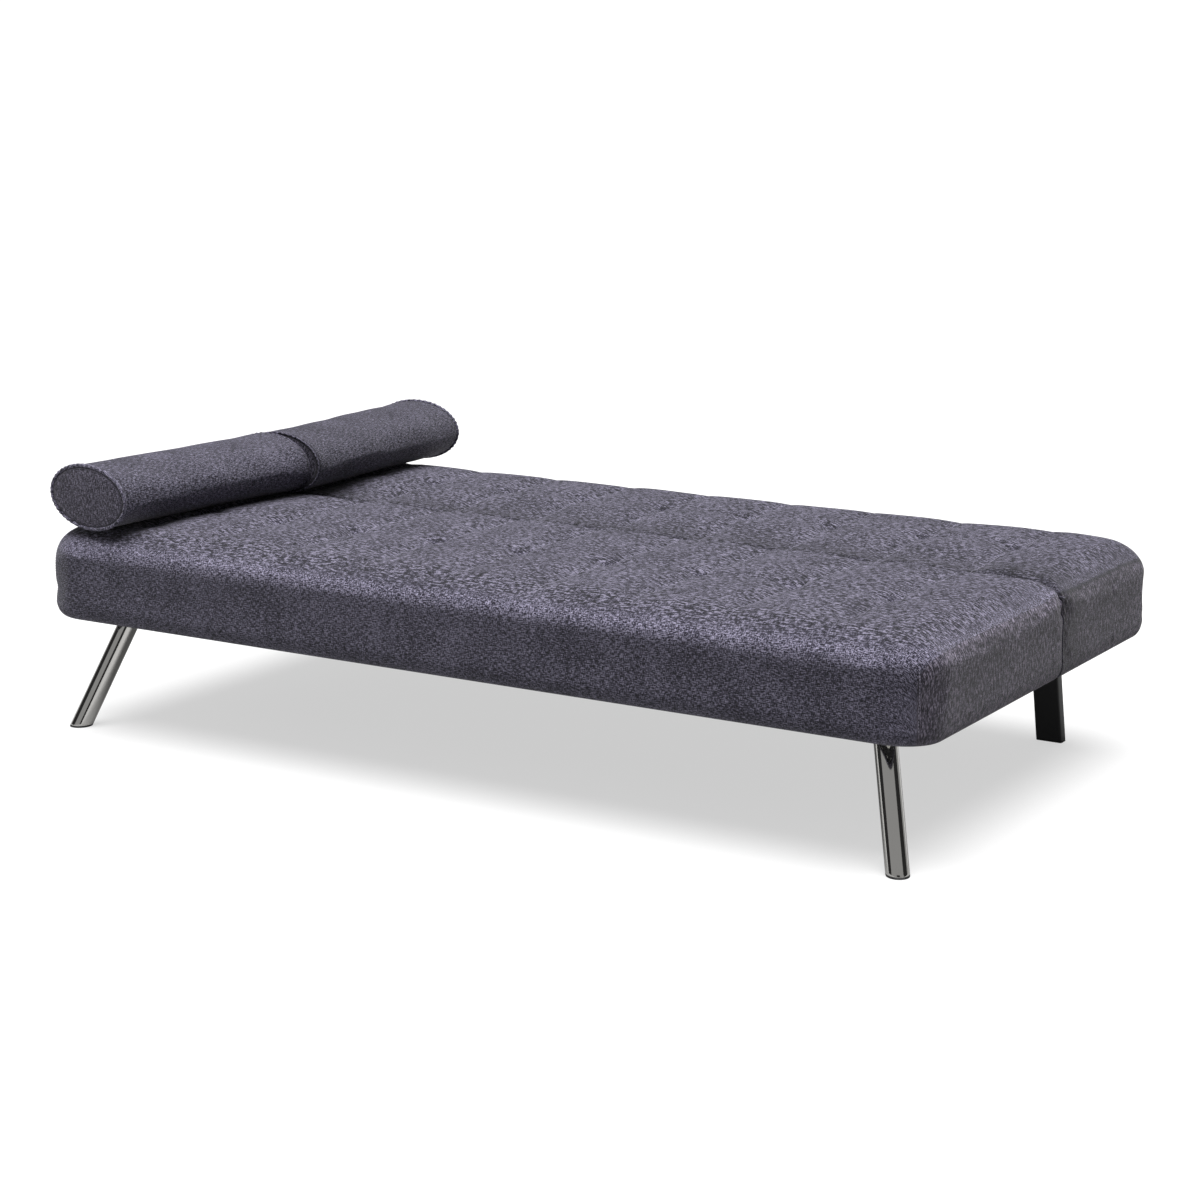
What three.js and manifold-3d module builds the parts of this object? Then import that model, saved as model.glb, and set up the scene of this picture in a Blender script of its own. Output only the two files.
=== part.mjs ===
// A click clack sofa bed, laid flat: a seat on two splayed chrome legs and two black rear legs,
// a backrest on a pair of ratchet hinges, and two loose bolsters across its left end.
// Millimetres, +Z up. X runs along the bed, Y from its front to its rear.
import * as THREE from 'three';
import { mergeVertices } from 'three/addons/utils/BufferGeometryUtils.js';
import Module from 'manifold-3d';

const wasm = await Module();
wasm.setup();

// The bed
const bedLength = 1800;
const seatDepth = 544;
const backDepth = 444.6;
const valleyGap = 4.4;
const undersideHeight = 209;
const padHeight = 179;
const seatGap = 0.3; // clearance between pieces that touch
const cutOverrun = 2; // how far a cutting body runs past a face
const weldDistance = 0.0001;
const roundSides = 20; // facets of a pin or an eye
const boltSides = 10; // facets of a bolt's shank
const armBoltSides = 16;
const hexSides = 6;
const tubeSides = 32; // facets of a leg's tube
const plateArcSides = 8;
const slabArcSides = 6;

// The quilted covers
const padSide = 32; // fabric and wadding round the frame
const cornerRadius = 83; // plan corners away from the valley
const bottomRound = 28;
const endBottomRound = 17;
const valleyBottomRound = 12;
const sideDraw = 2; // how far the sides are drawn in at mid height
const edgeRollWidth = 77;
const edgeRollDrop = 47;
const valleyRollRadius = 36;
const valleyDip = 4;
const valleyRise = 80; // over which the top climbs from the valley's roll to the crown
const panelCount = 10; // quilted panels along the bed
const crownFall = 5; // of the quilted top from its middle to its edges
const crownReach = 170;
const seamDepth = 6.5;
const rowDepth = 3;
const rowReach = 95;
const tuftDepth = 10;
const tuftReach = 38;
const seamStart = 30; // from an edge to where the seams begin
const seamFade = 120; // over which they reach their depth
const padCeiling = 53; // quilted thickness over the foam, at the crown
const pocketCorner = 51;
const pillowShare = 0.6; // power of the sine that gives a panel its swell

// The timber frames
const railThickness = 22;
const railHeight = 72;
const slatThickness = 12;
const slatWidth = 64;
const slatCount = 5;
const slatPitch = bedLength / (slatCount + 1);
const dustCoverThickness = 1.5;
const foamCorner = 20;
const centreRailPlace = 330; // from the front face to the middle rail
const cornerBlockWidth = 123;
const cornerBlockDepth = 105;
const cornerBlockHeight = 45;

// The ratchet hinges
const plateThickness = 4;
const pivotRise = 10.2; // pivot over the centres of the valley's rolls
const pivotPinRadius = 4;
const pinHeadRadius = 7;
const pinHeadThickness = 2.6;
const eyeRadius = 9;
const sectorRadius = 28;
const notchRadius = 23;
const lowLandRadius = 21.5;
const notchHalfWidth = 3.4;
const notchFlare = 1.2;
const pawlAngle = 240; // degrees from the rear towards the top, where the pawl meets the sector
const loungeTurn = 35; // degrees of fold at the middle notch
const uprightTurn = 75; // degrees of fold at the last notch
const pawlSwing = 8; // degrees
const pawlReach = 36.4; // pawl pin to the tip
const pawlTipRadius = 23.8; // from the pivot to the tip when it is in a notch
const pawlWidth = 8;
const pawlEyeRadius = 7.5;
const pawlToothHalfWidth = 2.2;
const pawlToothHeight = 8;
const pawlArmRadius = 33; // from the pivot to the middle of the pawl's heel
const pawlPinRadius = 4;
const hingeBaseNear = 36; // from the pivot to the near end of a hinge plate's foot
const hingeBaseLength = 82;
const hingeBaseTop = 28;
const hingeBaseHeight = 42;
const hingeNeck = 62; // from the pivot to where the seat plate's neck meets its foot
const eyeTurns = { seat: [-60, 90], back: [20, 100] }; // degrees round the pivot
const eyeSides = { seat: 8, back: 5 };
const throatShare = 2.4; // of the eye's radius, where the seat plate's outline turns under its eye
const throatTurn = 250; // degrees round the pivot
const heelTurn = 290; // degrees round the pivot, where the sector's rim leaves for its foot
const rimStartShare = 1.7; // of a notch's flare, how far the rim runs past the upright notch
const rimShares = [0.25, 0.5, 0.75]; // of the rim between the two notches
const slotDepth = 60; // how far the hinge slot reaches into a cover from the valley
const slotTop = 16;
const slotBottom = 43;
const hingeSideClear = 1;
const springWire = 1.2;
const springTurns = 3;
const springPitch = 1.7;
const coilSteps = 10; // per turn
const wireSides = 5;
const boltRadius = 3;
const boltHeadRadius = 5.6;
const boltHeadHeight = 3.4;
const boltReach = 12; // how far a hinge bolt runs into its rail

// The front legs
const legRadius = 19;
const legWall = 1.6;
const footInset = 56.5; // from the bed's end to a foot's centre
const footSideways = bedLength / 2 - footInset;
const footForward = 39.5; // from the front face to a foot's centre
const legSplayShare = 0.324; // sideways lean per unit of height
const legRakeShare = 0.393; // forward lean per unit of height
const legPlateWidth = 108;
const legPlateDepth = 96;
const legPlateCorner = 14;
const legPlateBoltInset = 14;
const legBoltReach = 26;
const capThickness = 3;
const capPlug = 20;

// The rear legs
const rearLegWidth = 50;
const rearLegThickness = 22;
const rearLegWall = 1.8;
const rearLegInset = 155; // from the bed's end to the middle of a rear leg
const rearLegPlace = bedLength / 2 - rearLegInset;
const rearFootFace = 889; // from the front face to the front of a rear foot
const rearLegLean = 13.5; // degrees
const armHeight = 20;
const armStart = 296; // from the front face to the arms' front ends
const armBoltRadius = 4;
const armBoltReach = 34;
const armBoltHead = 7;
const armBoltHeadHeight = 4;

// The bolsters
// Sections and tilts in radians; at a tilt below zero the side towards the bed's middle is the lower.
// The insets are those of a bolster's middle line from the bed's left end, front end first.
const bolsterFront = { width: 194, thickness: 117, tilt: -0.041, insets: [118, 154] };
const bolsterRear = { width: 204, thickness: 121, tilt: 0, insets: [170, 141] };
const bolsterFrontStart = 13;
const bolsterMeet = 503.6; // where the two bolsters meet
const bolsterRearEnd = 1018;
const bolsterGap = 4; // keeps their ends apart, as they meet at a slight angle
const bolsterSides = 26;
const bolsterPipeInset = 8;
const bolsterRollLength = 52;
const restSteps = 96; // places along a bolster where its resting height is tried

// Derived places
const totalDepth = seatDepth + valleyGap + backDepth;
const halfLength = bedLength / 2;
const panelWidth = bedLength / panelCount;
const innerHalf = halfLength - panelWidth; // from the middle to the last seam
const crownTop = undersideHeight + padHeight;
const rollCentre = crownTop - valleyDip - valleyRollRadius;
const pivotY = seatDepth + valleyGap / 2;
const pivotZ = rollCentre + pivotRise;
const originY = bolsterRearEnd / 2; // the middle of the whole depth, overhang of the bolster included
const pocketHalf = halfLength - padSide;
const pocketTop = crownTop - padCeiling;
const railOuter = pocketHalf - seatGap;
const railBottom = undersideHeight + seatGap + dustCoverThickness + seatGap;
const railTop = railBottom + railHeight;
const foamBottom = railTop + seatGap + slatThickness + seatGap;
const foamTop = pocketTop - seatGap;
const seatRailInner = railOuter - railThickness;
const seatPlateOuter = seatRailInner - seatGap;
const seatPlateInner = seatPlateOuter - plateThickness;
const sectorOuter = seatPlateInner - seatGap;
const sectorInner = sectorOuter - plateThickness;
const backRailInner = sectorOuter + seatGap;
const pinHeadOuter = seatPlateOuter + seatGap + pinHeadThickness;
const springBottom = sectorInner - seatGap - springTurns * springPitch - springWire;
const pawlPinInner = springBottom - seatGap - pinHeadThickness;
const slotInner = pawlPinInner - hingeSideClear;
const slotOuter = pinHeadOuter + hingeSideClear;
const foamHalf = slotInner - hingeSideClear;
const rad = THREE.MathUtils.degToRad;

// Materials
const fabric = new THREE.MeshStandardMaterial({ color: 0x4a4957, roughness: 0.95, metalness: 0 });
const foam = new THREE.MeshStandardMaterial({ color: 0xd8cfae, roughness: 0.9, metalness: 0 });
const lining = new THREE.MeshStandardMaterial({ color: 0x1a1a1c, roughness: 0.95, metalness: 0 });
const timber = new THREE.MeshStandardMaterial({ color: 0xb88f60, roughness: 0.7, metalness: 0 });
const chrome = new THREE.MeshStandardMaterial({ color: 0xc9ccd1, roughness: 0.12, metalness: 1 });
const blackSteel = new THREE.MeshStandardMaterial({ color: 0x18181a, roughness: 0.45, metalness: 0.2 });
const zincSteel = new THREE.MeshStandardMaterial({ color: 0x9a9b9e, roughness: 0.4, metalness: 1 });
const blackPlastic = new THREE.MeshStandardMaterial({ color: 0x101012, roughness: 0.6, metalness: 0 });

// Solid helpers
function toSolid(geometry) {
  const bare = geometry.clone();
  bare.deleteAttribute('normal');
  bare.deleteAttribute('uv');
  const merged = mergeVertices(bare, weldDistance);
  const tris = [];
  const index = merged.index.array;
  for (let i = 0; i < index.length; i += 3) {
    const [a, b, c] = [index[i], index[i + 1], index[i + 2]];
    if (a !== b && b !== c && a !== c) tris.push(a, b, c);
  }
  return new wasm.Manifold(new wasm.Mesh({
    numProp: 3,
    vertProperties: new Float32Array(merged.attributes.position.array),
    triVerts: new Uint32Array(tris),
  }));
}

function toGeometry(solid) {
  const mesh = solid.getMesh();
  const geometry = new THREE.BufferGeometry();
  geometry.setAttribute('position', new THREE.BufferAttribute(new Float32Array(mesh.vertProperties), 3));
  geometry.setIndex(new THREE.BufferAttribute(new Uint32Array(mesh.triVerts), 1));
  geometry.computeVertexNormals();
  return geometry;
}

function boxBetween(x0, x1, y0, y1, z0, z1) {
  const box = new THREE.BoxGeometry(x1 - x0, y1 - y0, z1 - z0);
  return box.translate((x0 + x1) / 2, (y0 + y1) / 2, (z0 + z1) / 2);
}

function shapeOf(points) {
  return new THREE.Shape(points.map(([x, y]) => new THREE.Vector2(x, y)));
}

// A flat outline in Y and Z, given thickness along X.
function plateAlongX(shape, x0, x1) {
  const geometry = new THREE.ExtrudeGeometry(shape, {
    depth: x1 - x0, bevelEnabled: false, curveSegments: plateArcSides,
  });
  const turn = new THREE.Matrix4().makeBasis(
    new THREE.Vector3(0, 1, 0), new THREE.Vector3(0, 0, 1), new THREE.Vector3(1, 0, 0));
  return geometry.applyMatrix4(turn).translate(x0, 0, 0);
}

function cylinderAlongX(radius, x0, x1, y, z, sides = roundSides) {
  const geometry = new THREE.CylinderGeometry(radius, radius, x1 - x0, sides);
  return geometry.rotateZ(-Math.PI / 2).translate((x0 + x1) / 2, y, z);
}

function cylinderAlongZ(radius, z0, z1, x, y, sides = armBoltSides) {
  const geometry = new THREE.CylinderGeometry(radius, radius, z1 - z0, sides);
  return geometry.rotateX(Math.PI / 2).translate(x, y, (z0 + z1) / 2);
}

function roundedRect(x0, x1, y0, y1, radius) {
  const shape = new THREE.Shape();
  shape.moveTo(x0 + radius, y0);
  shape.lineTo(x1 - radius, y0);
  shape.absarc(x1 - radius, y0 + radius, radius, -Math.PI / 2, 0, false);
  shape.lineTo(x1, y1 - radius);
  shape.absarc(x1 - radius, y1 - radius, radius, 0, Math.PI / 2, false);
  shape.lineTo(x0 + radius, y1);
  shape.absarc(x0 + radius, y1 - radius, radius, Math.PI / 2, Math.PI, false);
  shape.lineTo(x0, y0 + radius);
  shape.absarc(x0 + radius, y0 + radius, radius, Math.PI, 1.5 * Math.PI, false);
  return shape;
}

// A slab with rounded corners only at its outer edge, where y is the smaller.
function outerRounded(x0, x1, y0, y1, radius) {
  const shape = new THREE.Shape();
  shape.moveTo(x0 + radius, y0);
  shape.lineTo(x1 - radius, y0);
  shape.absarc(x1 - radius, y0 + radius, radius, -Math.PI / 2, 0, false);
  shape.lineTo(x1, y1);
  shape.lineTo(x0, y1);
  shape.lineTo(x0, y0 + radius);
  shape.absarc(x0 + radius, y0 + radius, radius, Math.PI, 1.5 * Math.PI, false);
  return shape;
}

function slabBetween(shape, z0, z1) {
  const geometry = new THREE.ExtrudeGeometry(shape, {
    depth: z1 - z0, bevelEnabled: false, curveSegments: slabArcSides,
  });
  return geometry.translate(0, 0, z0);
}

function joined(geometries) {
  return geometries.map(toSolid).reduce((whole, piece) => whole.add(piece));
}

function cut(solid, geometries) {
  return geometries.map(toSolid).reduce((rest, piece) => rest.subtract(piece), solid);
}

function place(group, name, geometry, material) {
  const mesh = new THREE.Mesh(geometry, material);
  mesh.name = name;
  group.add(mesh);
  return mesh;
}

// The quilted cover of the seat or the backrest. Its outer face is at y = 0 and its valley face at
// y = depth, so the backrest's is the same form turned round.
function ease(t) {
  const s = Math.min(Math.max(t, 0), 1);
  return s * s * (3 - 2 * s);
}

function roll(t) {
  return 1 - Math.sqrt(Math.max(0, 1 - t * t));
}

function swell(distance, reach) {
  return 1 - Math.sin(Math.min(distance / reach, 1) * Math.PI / 2) ** pillowShare;
}

function topHeight(x, y, depth) {
  const end = halfLength - Math.abs(x);
  const valley = depth - y;
  const edge = Math.min(end, y);
  const endRoll = edgeRollDrop * roll(Math.max(0, 1 - end / edgeRollWidth));
  const outerRoll = edgeRollDrop * roll(Math.max(0, 1 - y / edgeRollWidth));
  const valleyRoll = valleyRollRadius * roll(Math.max(0, 1 - valley / valleyRollRadius))
    + valleyDip * (1 - ease((valley - valleyRollRadius) / valleyRise));
  const seams = innerHalf / panelWidth;
  const column = Math.round((x + innerHalf) / panelWidth);
  const nearest = Math.min(Math.max(column, 0), 2 * seams) * panelWidth - innerHalf;
  const across = Math.abs(x - nearest);
  const along = Math.abs(y - depth / 2);
  const fade = ease((edge - seamStart) / seamFade);
  const fall = crownFall * (1 - ease((edge - seamStart) / crownReach));
  const seam = seamDepth * swell(across, panelWidth / 2);
  const row = rowDepth * swell(along, rowReach);
  const tuft = tuftDepth * Math.max(0, 1 - Math.hypot(across, along) / tuftReach) ** 2;
  return crownTop - fall - Math.max(endRoll + outerRoll, valleyRoll) - fade * (seam + row + tuft);
}

// The grid of a cover's top: close lines over the rolled edges, an even spread between.
function coverLines(depth) {
  const endShares = [0, 0.06, 0.25, 0.6, 1]; // of the edge roll's width
  const rollSteps = endShares.map((share) => share * edgeRollWidth);
  const endPanelShares = [0.45, 0.85]; // from the last seam to the edge roll
  const endSteps = endPanelShares.map((share) => innerHalf
    + share * (halfLength - edgeRollWidth - innerHalf));
  const xs = rollSteps.map((step) => -halfLength + step);
  xs.push(-endSteps[1], -endSteps[0]);
  const quarters = 4 * (panelCount - 2);
  for (let k = 0; k <= quarters; k += 1) xs.push(-innerHalf + 2 * innerHalf * k / quarters);
  xs.push(...endSteps);
  for (const step of [...rollSteps].reverse()) xs.push(halfLength - step);

  const ys = [...rollSteps];
  const rowShares = [0.45, 0.75, 1]; // from the edge roll to the tufted row
  for (const share of rowShares) ys.push(edgeRollWidth + share * (depth / 2 - edgeRollWidth));
  const rearShares = [0.25, 0.6]; // from the tufted row to the valley's roll
  for (const share of rearShares) ys.push(depth / 2 + share * (depth / 2 - valleyRollRadius));
  const valleyShares = [1, 0.45, 0.12, 0]; // of the valley roll's radius
  for (const share of valleyShares) ys.push(depth - share * valleyRollRadius);
  return [xs, ys];
}

// The height of the faceted top at a place between its grid lines.
function facetHeight(x, y, depth) {
  const [xs, ys] = coverLines(depth);
  const i = Math.min(Math.max(xs.findIndex((line) => line > x), 1), xs.length - 1);
  const j = Math.min(Math.max(ys.findIndex((line) => line > y), 1), ys.length - 1);
  const u = (x - xs[i - 1]) / (xs[i] - xs[i - 1]);
  const v = (y - ys[j - 1]) / (ys[j] - ys[j - 1]);
  const [low, high] = [ys[j - 1], ys[j]].map((line) => (1 - u) * topHeight(xs[i - 1], line, depth)
    + u * topHeight(xs[i], line, depth));
  return low + (high - low) * v;
}

function coverGeometry(depth) {
  const [xs, ys] = coverLines(depth);
  const positions = [];
  const normals = [];
  const columns = xs.length;
  const rows = ys.length;
  for (let j = 0; j < rows; j += 1) {
    for (let i = 0; i < columns; i += 1) {
      let [x, y] = [xs[i], ys[j]];
      const z = topHeight(x, y, depth);
      const p = (Math.abs(x) - (halfLength - cornerRadius)) / cornerRadius;
      const q = (cornerRadius - y) / cornerRadius;
      // How a rim point moves inward: along X and Y from the outer sides, and along Y from the valley.
      const nearEnd = Math.max(0, 1 - (halfLength - Math.abs(x)) / edgeRollWidth);
      const nearValley = Math.max(0, 1 - (depth - y) / valleyRollRadius);
      let normal = [Math.sign(x) * (j === 0 ? 0 : nearEnd), j === 0 ? -1 : 0, nearValley];
      if (p > 0 && q > 0) {
        const [across, out] = [p * Math.sqrt(1 - q * q / 2), q * Math.sqrt(1 - p * p / 2)];
        x = Math.sign(x) * (halfLength - cornerRadius + cornerRadius * across);
        y = cornerRadius - cornerRadius * out;
        const long = Math.hypot(across, out);
        normal = [Math.sign(x) * across / long, -out / long, 0];
      }
      positions.push(x, y, z);
      normals.push(normal);
    }
  }
  const rim = [];
  for (let i = 0; i < columns; i += 1) rim.push(i);
  for (let j = 1; j < rows; j += 1) rim.push(j * columns + columns - 1);
  for (let i = columns - 2; i >= 0; i -= 1) rim.push((rows - 1) * columns + i);
  for (let j = rows - 2; j > 0; j -= 1) rim.push(j * columns);

  const tris = [];
  for (let j = 0; j < rows - 1; j += 1) {
    for (let i = 0; i < columns - 1; i += 1) {
      const a = j * columns + i;
      tris.push(a, a + 1, a + columns + 1, a, a + columns + 1, a + columns);
    }
  }
  const levels = [
    { rise: padHeight / 2, endInset: sideDraw, frontInset: sideDraw, valleyInset: 0 },
    { rise: bottomRound, endInset: 0, frontInset: 0, valleyInset: 0 },
  ];
  for (const turn of [0.5, 1]) {
    const down = 1 - Math.sin(turn * Math.PI / 2);
    const inward = 1 - Math.cos(turn * Math.PI / 2);
    levels.push({
      rise: bottomRound * down,
      endInset: endBottomRound * inward,
      frontInset: bottomRound * inward,
      valleyInset: valleyBottomRound * inward,
    });
  }
  let upper = rim;
  for (const level of levels) {
    const lower = rim.map((at) => {
      const [nx, ny, valley] = normals[at];
      positions.push(
        positions[3 * at] - nx * level.endInset,
        positions[3 * at + 1] - ny * level.frontInset - valley * level.valleyInset,
        undersideHeight + level.rise);
      return positions.length / 3 - 1;
    });
    for (let k = 0; k < rim.length; k += 1) {
      const next = (k + 1) % rim.length;
      tris.push(upper[k], lower[k], lower[next], upper[k], lower[next], upper[next]);
    }
    upper = lower;
  }
  positions.push(0, depth / 2, undersideHeight);
  const hub = positions.length / 3 - 1;
  for (let k = 0; k < upper.length; k += 1) tris.push(hub, upper[(k + 1) % upper.length], upper[k]);
  const geometry = new THREE.BufferGeometry();
  geometry.setAttribute('position', new THREE.Float32BufferAttribute(positions, 3));
  geometry.setIndex(tris);
  return geometry;
}

// Both halves share a build: cover, foam, slats, four rails and a lining underneath.
function halfOfBed(group, prefix, depth, endRailInner, sides) {
  const pocketEnd = depth - padSide;
  const pocket = outerRounded(-pocketHalf, pocketHalf, padSide, pocketEnd, pocketCorner);
  const slots = sides.map((side) => {
    const [x0, x1] = side.at > 0 ? [slotInner, slotOuter] : [-slotOuter, -slotInner];
    return boxBetween(x0, x1, depth - slotDepth, depth + cutOverrun,
      pivotZ - slotBottom, pivotZ + slotTop);
  });
  const coverSolid = cut(toSolid(coverGeometry(depth)), [
    slabBetween(pocket, undersideHeight - cutOverrun, pocketTop), ...slots]);
  place(group, `${prefix}_cover`, toGeometry(coverSolid), fabric);

  const inner = outerRounded(-railOuter, railOuter, padSide + seatGap, pocketEnd - seatGap, pocketCorner);
  const liningBottom = undersideHeight + seatGap;
  const liningSolid = toSolid(slabBetween(inner, liningBottom, liningBottom + dustCoverThickness));
  const foamShape = outerRounded(-foamHalf, foamHalf, padSide + seatGap, pocketEnd - seatGap, foamCorner);
  place(group, `${prefix}_foam`, toGeometry(toSolid(slabBetween(foamShape, foamBottom, foamTop))), foam);

  const outerFace = padSide + seatGap;
  const innerFace = pocketEnd - seatGap;
  const outerHalf = railOuter - pocketCorner;
  const innerHalf = Math.min(seatRailInner, endRailInner) - seatGap;
  const rails = {
    outer: boxBetween(-outerHalf, outerHalf, outerFace, outerFace + railThickness, railBottom, railTop),
    inner: boxBetween(-innerHalf, innerHalf, innerFace - railThickness, innerFace, railBottom, railTop),
  };
  const ends = sides.map((side) => {
    const [x0, x1] = side.at > 0 ? [endRailInner, railOuter] : [-railOuter, -endRailInner];
    return { side, box: boxBetween(x0, x1, outerFace + pocketCorner, innerFace, railBottom, foamTop) };
  });
  const slatStart = -(slatCount - 1) / 2 * slatPitch;
  for (let k = 0; k < slatCount; k += 1) {
    const middle = slatStart + k * slatPitch;
    const slat = boxBetween(middle - slatWidth / 2, middle + slatWidth / 2,
      outerFace, innerFace, railTop + seatGap, railTop + seatGap + slatThickness);
    place(group, `${prefix}_slat_${k + 1}`, slat, timber);
  }
  return { rails, ends, liningSolid };
}

const bed = new THREE.Group();
bed.name = 'sofa_bed';
bed.position.y = -originY;
const seat = new THREE.Group();
const back = new THREE.Group();
back.rotation.z = Math.PI;
back.position.y = totalDepth;
bed.add(seat, back);

const seatSides = [{ name: 'left', at: -1 }, { name: 'right', at: 1 }];
const backSides = [{ name: 'left', at: 1 }, { name: 'right', at: -1 }]; // turned round with the backrest

// Bolts
const hingeBoltShares = [[0.16, 0.3], [0.5, 0.68], [0.84, 0.3]]; // of a hinge foot's length and height
const hingeBolts = hingeBoltShares.map(([along, up]) =>
  [hingeBaseNear + along * hingeBaseLength, -hingeBaseTop - up * hingeBaseHeight]);

function hingeBoltHoles(side, inner, towards, y, clear) {
  return hingeBolts.map(([out, up]) => {
    const [x0, x1] = [inner - cutOverrun, inner + boltReach + clear];
    const [a, b] = side.at > 0 ? [x0, x1] : [-x1, -x0];
    return cylinderAlongX(boltRadius + clear, a, b, y + towards * out, pivotZ + up, boltSides);
  });
}

// The seat's frame, with holes for the bolts of the hinges, the arms and the leg plates
const seatHalf = halfOfBed(seat, 'seat', seatDepth, seatRailInner, seatSides);
const innerRailMiddle = seatDepth - padSide - seatGap - railThickness / 2;
const armTop = undersideHeight - seatGap;
const armBottom = armTop - armHeight;
const armBoltPlaces = [-1, 1].flatMap((at) => [centreRailPlace, innerRailMiddle]
  .map((y) => [at * rearLegPlace, y]));
const armHoles = armBoltPlaces.map(([x, y]) => cylinderAlongZ(armBoltRadius + seatGap,
  undersideHeight - cutOverrun, armTop + armBoltReach + seatGap, x, y));
const blockInner = seatRailInner - seatGap;
const blockFront = padSide + seatGap + railThickness + seatGap;
const legTopX = footSideways - legSplayShare * armTop;
const legTopY = footForward + legRakeShare * armTop;
const legPlateBottom = armTop - plateThickness;
const legPlateMiddle = legTopX - legPlateBoltInset / 2;
const legBoltPlaces = (at) => [-1, 1].flatMap((i) => [-1, 1].map((j) => [
  at * (legPlateMiddle + i * (legPlateWidth / 2 - legPlateBoltInset)),
  legTopY + j * (legPlateDepth / 2 - legPlateBoltInset)]));
const legHoles = (at) => legBoltPlaces(at).map(([x, y]) => cylinderAlongZ(boltRadius + seatGap,
  undersideHeight - cutOverrun, armTop + legBoltReach + seatGap, x, y, boltSides));

place(seat, 'seat_front_rail', seatHalf.rails.outer, timber);
place(seat, 'seat_rear_rail', toGeometry(cut(toSolid(seatHalf.rails.inner), armHoles)), timber);
for (const { side, box } of seatHalf.ends) {
  const holes = hingeBoltHoles(side, seatRailInner, -1, pivotY, seatGap);
  place(seat, `seat_end_rail_${side.name}`, toGeometry(cut(toSolid(box), holes)), timber);
}
const centreRail = boxBetween(-blockInner, blockInner, centreRailPlace - railThickness / 2,
  centreRailPlace + railThickness / 2, railBottom, railTop);
place(seat, 'seat_centre_rail', toGeometry(cut(toSolid(centreRail), armHoles)), timber);
for (const side of seatSides) {
  const [x0, x1] = side.at > 0 ? [blockInner - cornerBlockWidth, blockInner]
    : [-blockInner, -blockInner + cornerBlockWidth];
  const block = boxBetween(x0, x1, blockFront, blockFront + cornerBlockDepth,
    railBottom, railBottom + cornerBlockHeight);
  place(seat, `corner_block_${side.name}`, toGeometry(cut(toSolid(block), legHoles(side.at))), timber);
}
place(seat, 'seat_dust_cover', toGeometry(
  cut(seatHalf.liningSolid, [...armHoles, ...legHoles(-1), ...legHoles(1)])), lining);

// The backrest's frame
const backHalf = halfOfBed(back, 'back', backDepth, backRailInner, backSides);
place(back, 'back_rear_rail', backHalf.rails.outer, timber);
place(back, 'back_front_rail', backHalf.rails.inner, timber);
for (const { side, box } of backHalf.ends) {
  const holes = hingeBoltHoles(side, backRailInner, -1, totalDepth - pivotY, seatGap);
  place(back, `back_end_rail_${side.name}`, toGeometry(cut(toSolid(box), holes)), timber);
}
place(back, 'back_dust_cover', toGeometry(backHalf.liningSolid), lining);

// The ratchet hinges. Each side's outlines are drawn round the pivot, in Y and Z.
const polar = (radius, degrees) => [radius * Math.cos(rad(degrees)), radius * Math.sin(rad(degrees))];

// The sector's rim: from past the upright notch, over the lounge notch, to the low land that faces
// the pawl when the bed is flat.
function sectorRim() {
  const points = [];
  const upright = pawlAngle - uprightTurn;
  const lounge = pawlAngle - loungeTurn;
  const spread = THREE.MathUtils.radToDeg(notchHalfWidth / notchRadius);
  const flare = THREE.MathUtils.radToDeg((notchHalfWidth + notchFlare) / sectorRadius);
  points.push(polar(sectorRadius, upright - rimStartShare * flare));
  for (const at of [upright, lounge]) {
    points.push(polar(sectorRadius, at - flare), polar(notchRadius, at - spread),
      polar(notchRadius, at), polar(notchRadius, at + spread), polar(sectorRadius, at + flare));
    if (at === upright) {
      const run = lounge - upright - 2 * flare;
      for (const share of rimShares) points.push(polar(sectorRadius, at + flare + share * run));
    }
  }
  const lowStart = pawlAngle - 2 * flare / 3 - spread / 2;
  points.push(polar(lowLandRadius, lowStart), polar(lowLandRadius, pawlAngle),
    polar(lowLandRadius, pawlAngle + spread * 2));
  return points;
}

function hingeFoot(towards) {
  const near = towards * hingeBaseNear;
  const far = towards * (hingeBaseNear + hingeBaseLength);
  return { near, far, top: -hingeBaseTop, bottom: -hingeBaseTop - hingeBaseHeight };
}

function eyeArc(plate) {
  const [from, to] = eyeTurns[plate];
  const steps = eyeSides[plate];
  return Array.from({ length: steps + 1 }, (_, k) => polar(eyeRadius, from + (to - from) * k / steps));
}

const pawlPin = (() => {
  // The pawl pulls square to the sector: its pin lies off the tip by the pawl's reach.
  const [tipY, tipZ] = polar(pawlTipRadius, pawlAngle);
  const heading = Math.atan2(tipZ, tipY) - Math.PI / 2 + rad(pawlSwing);
  return [tipY + pawlReach * Math.cos(heading), tipZ + pawlReach * Math.sin(heading)];
})();

function seatPlateShape() {
  const foot = hingeFoot(-1);
  const [pinY, pinZ] = pawlPin;
  const bossTop = pinZ + pawlEyeRadius + pawlPinRadius / 2;
  return shapeOf([
    [foot.far, foot.bottom], [foot.near, foot.bottom], [foot.near, -hingeBaseTop - seatGap],
    polar(eyeRadius * throatShare, throatTurn), ...eyeArc('seat'),
    [pinY, bossTop], [pinY - pawlEyeRadius, bossTop - pawlPinRadius],
    [-hingeNeck, foot.top], [foot.far, foot.top]]);
}

function backPlateShape() {
  const foot = hingeFoot(1);
  return shapeOf([
    ...sectorRim(), polar(lowLandRadius, heelTurn), [foot.near, -slotBottom + hingeSideClear],
    [foot.near, foot.bottom], [foot.far, foot.bottom], [foot.far, foot.top],
    [foot.near + eyeRadius, foot.top], ...eyeArc('back')]);
}

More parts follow.
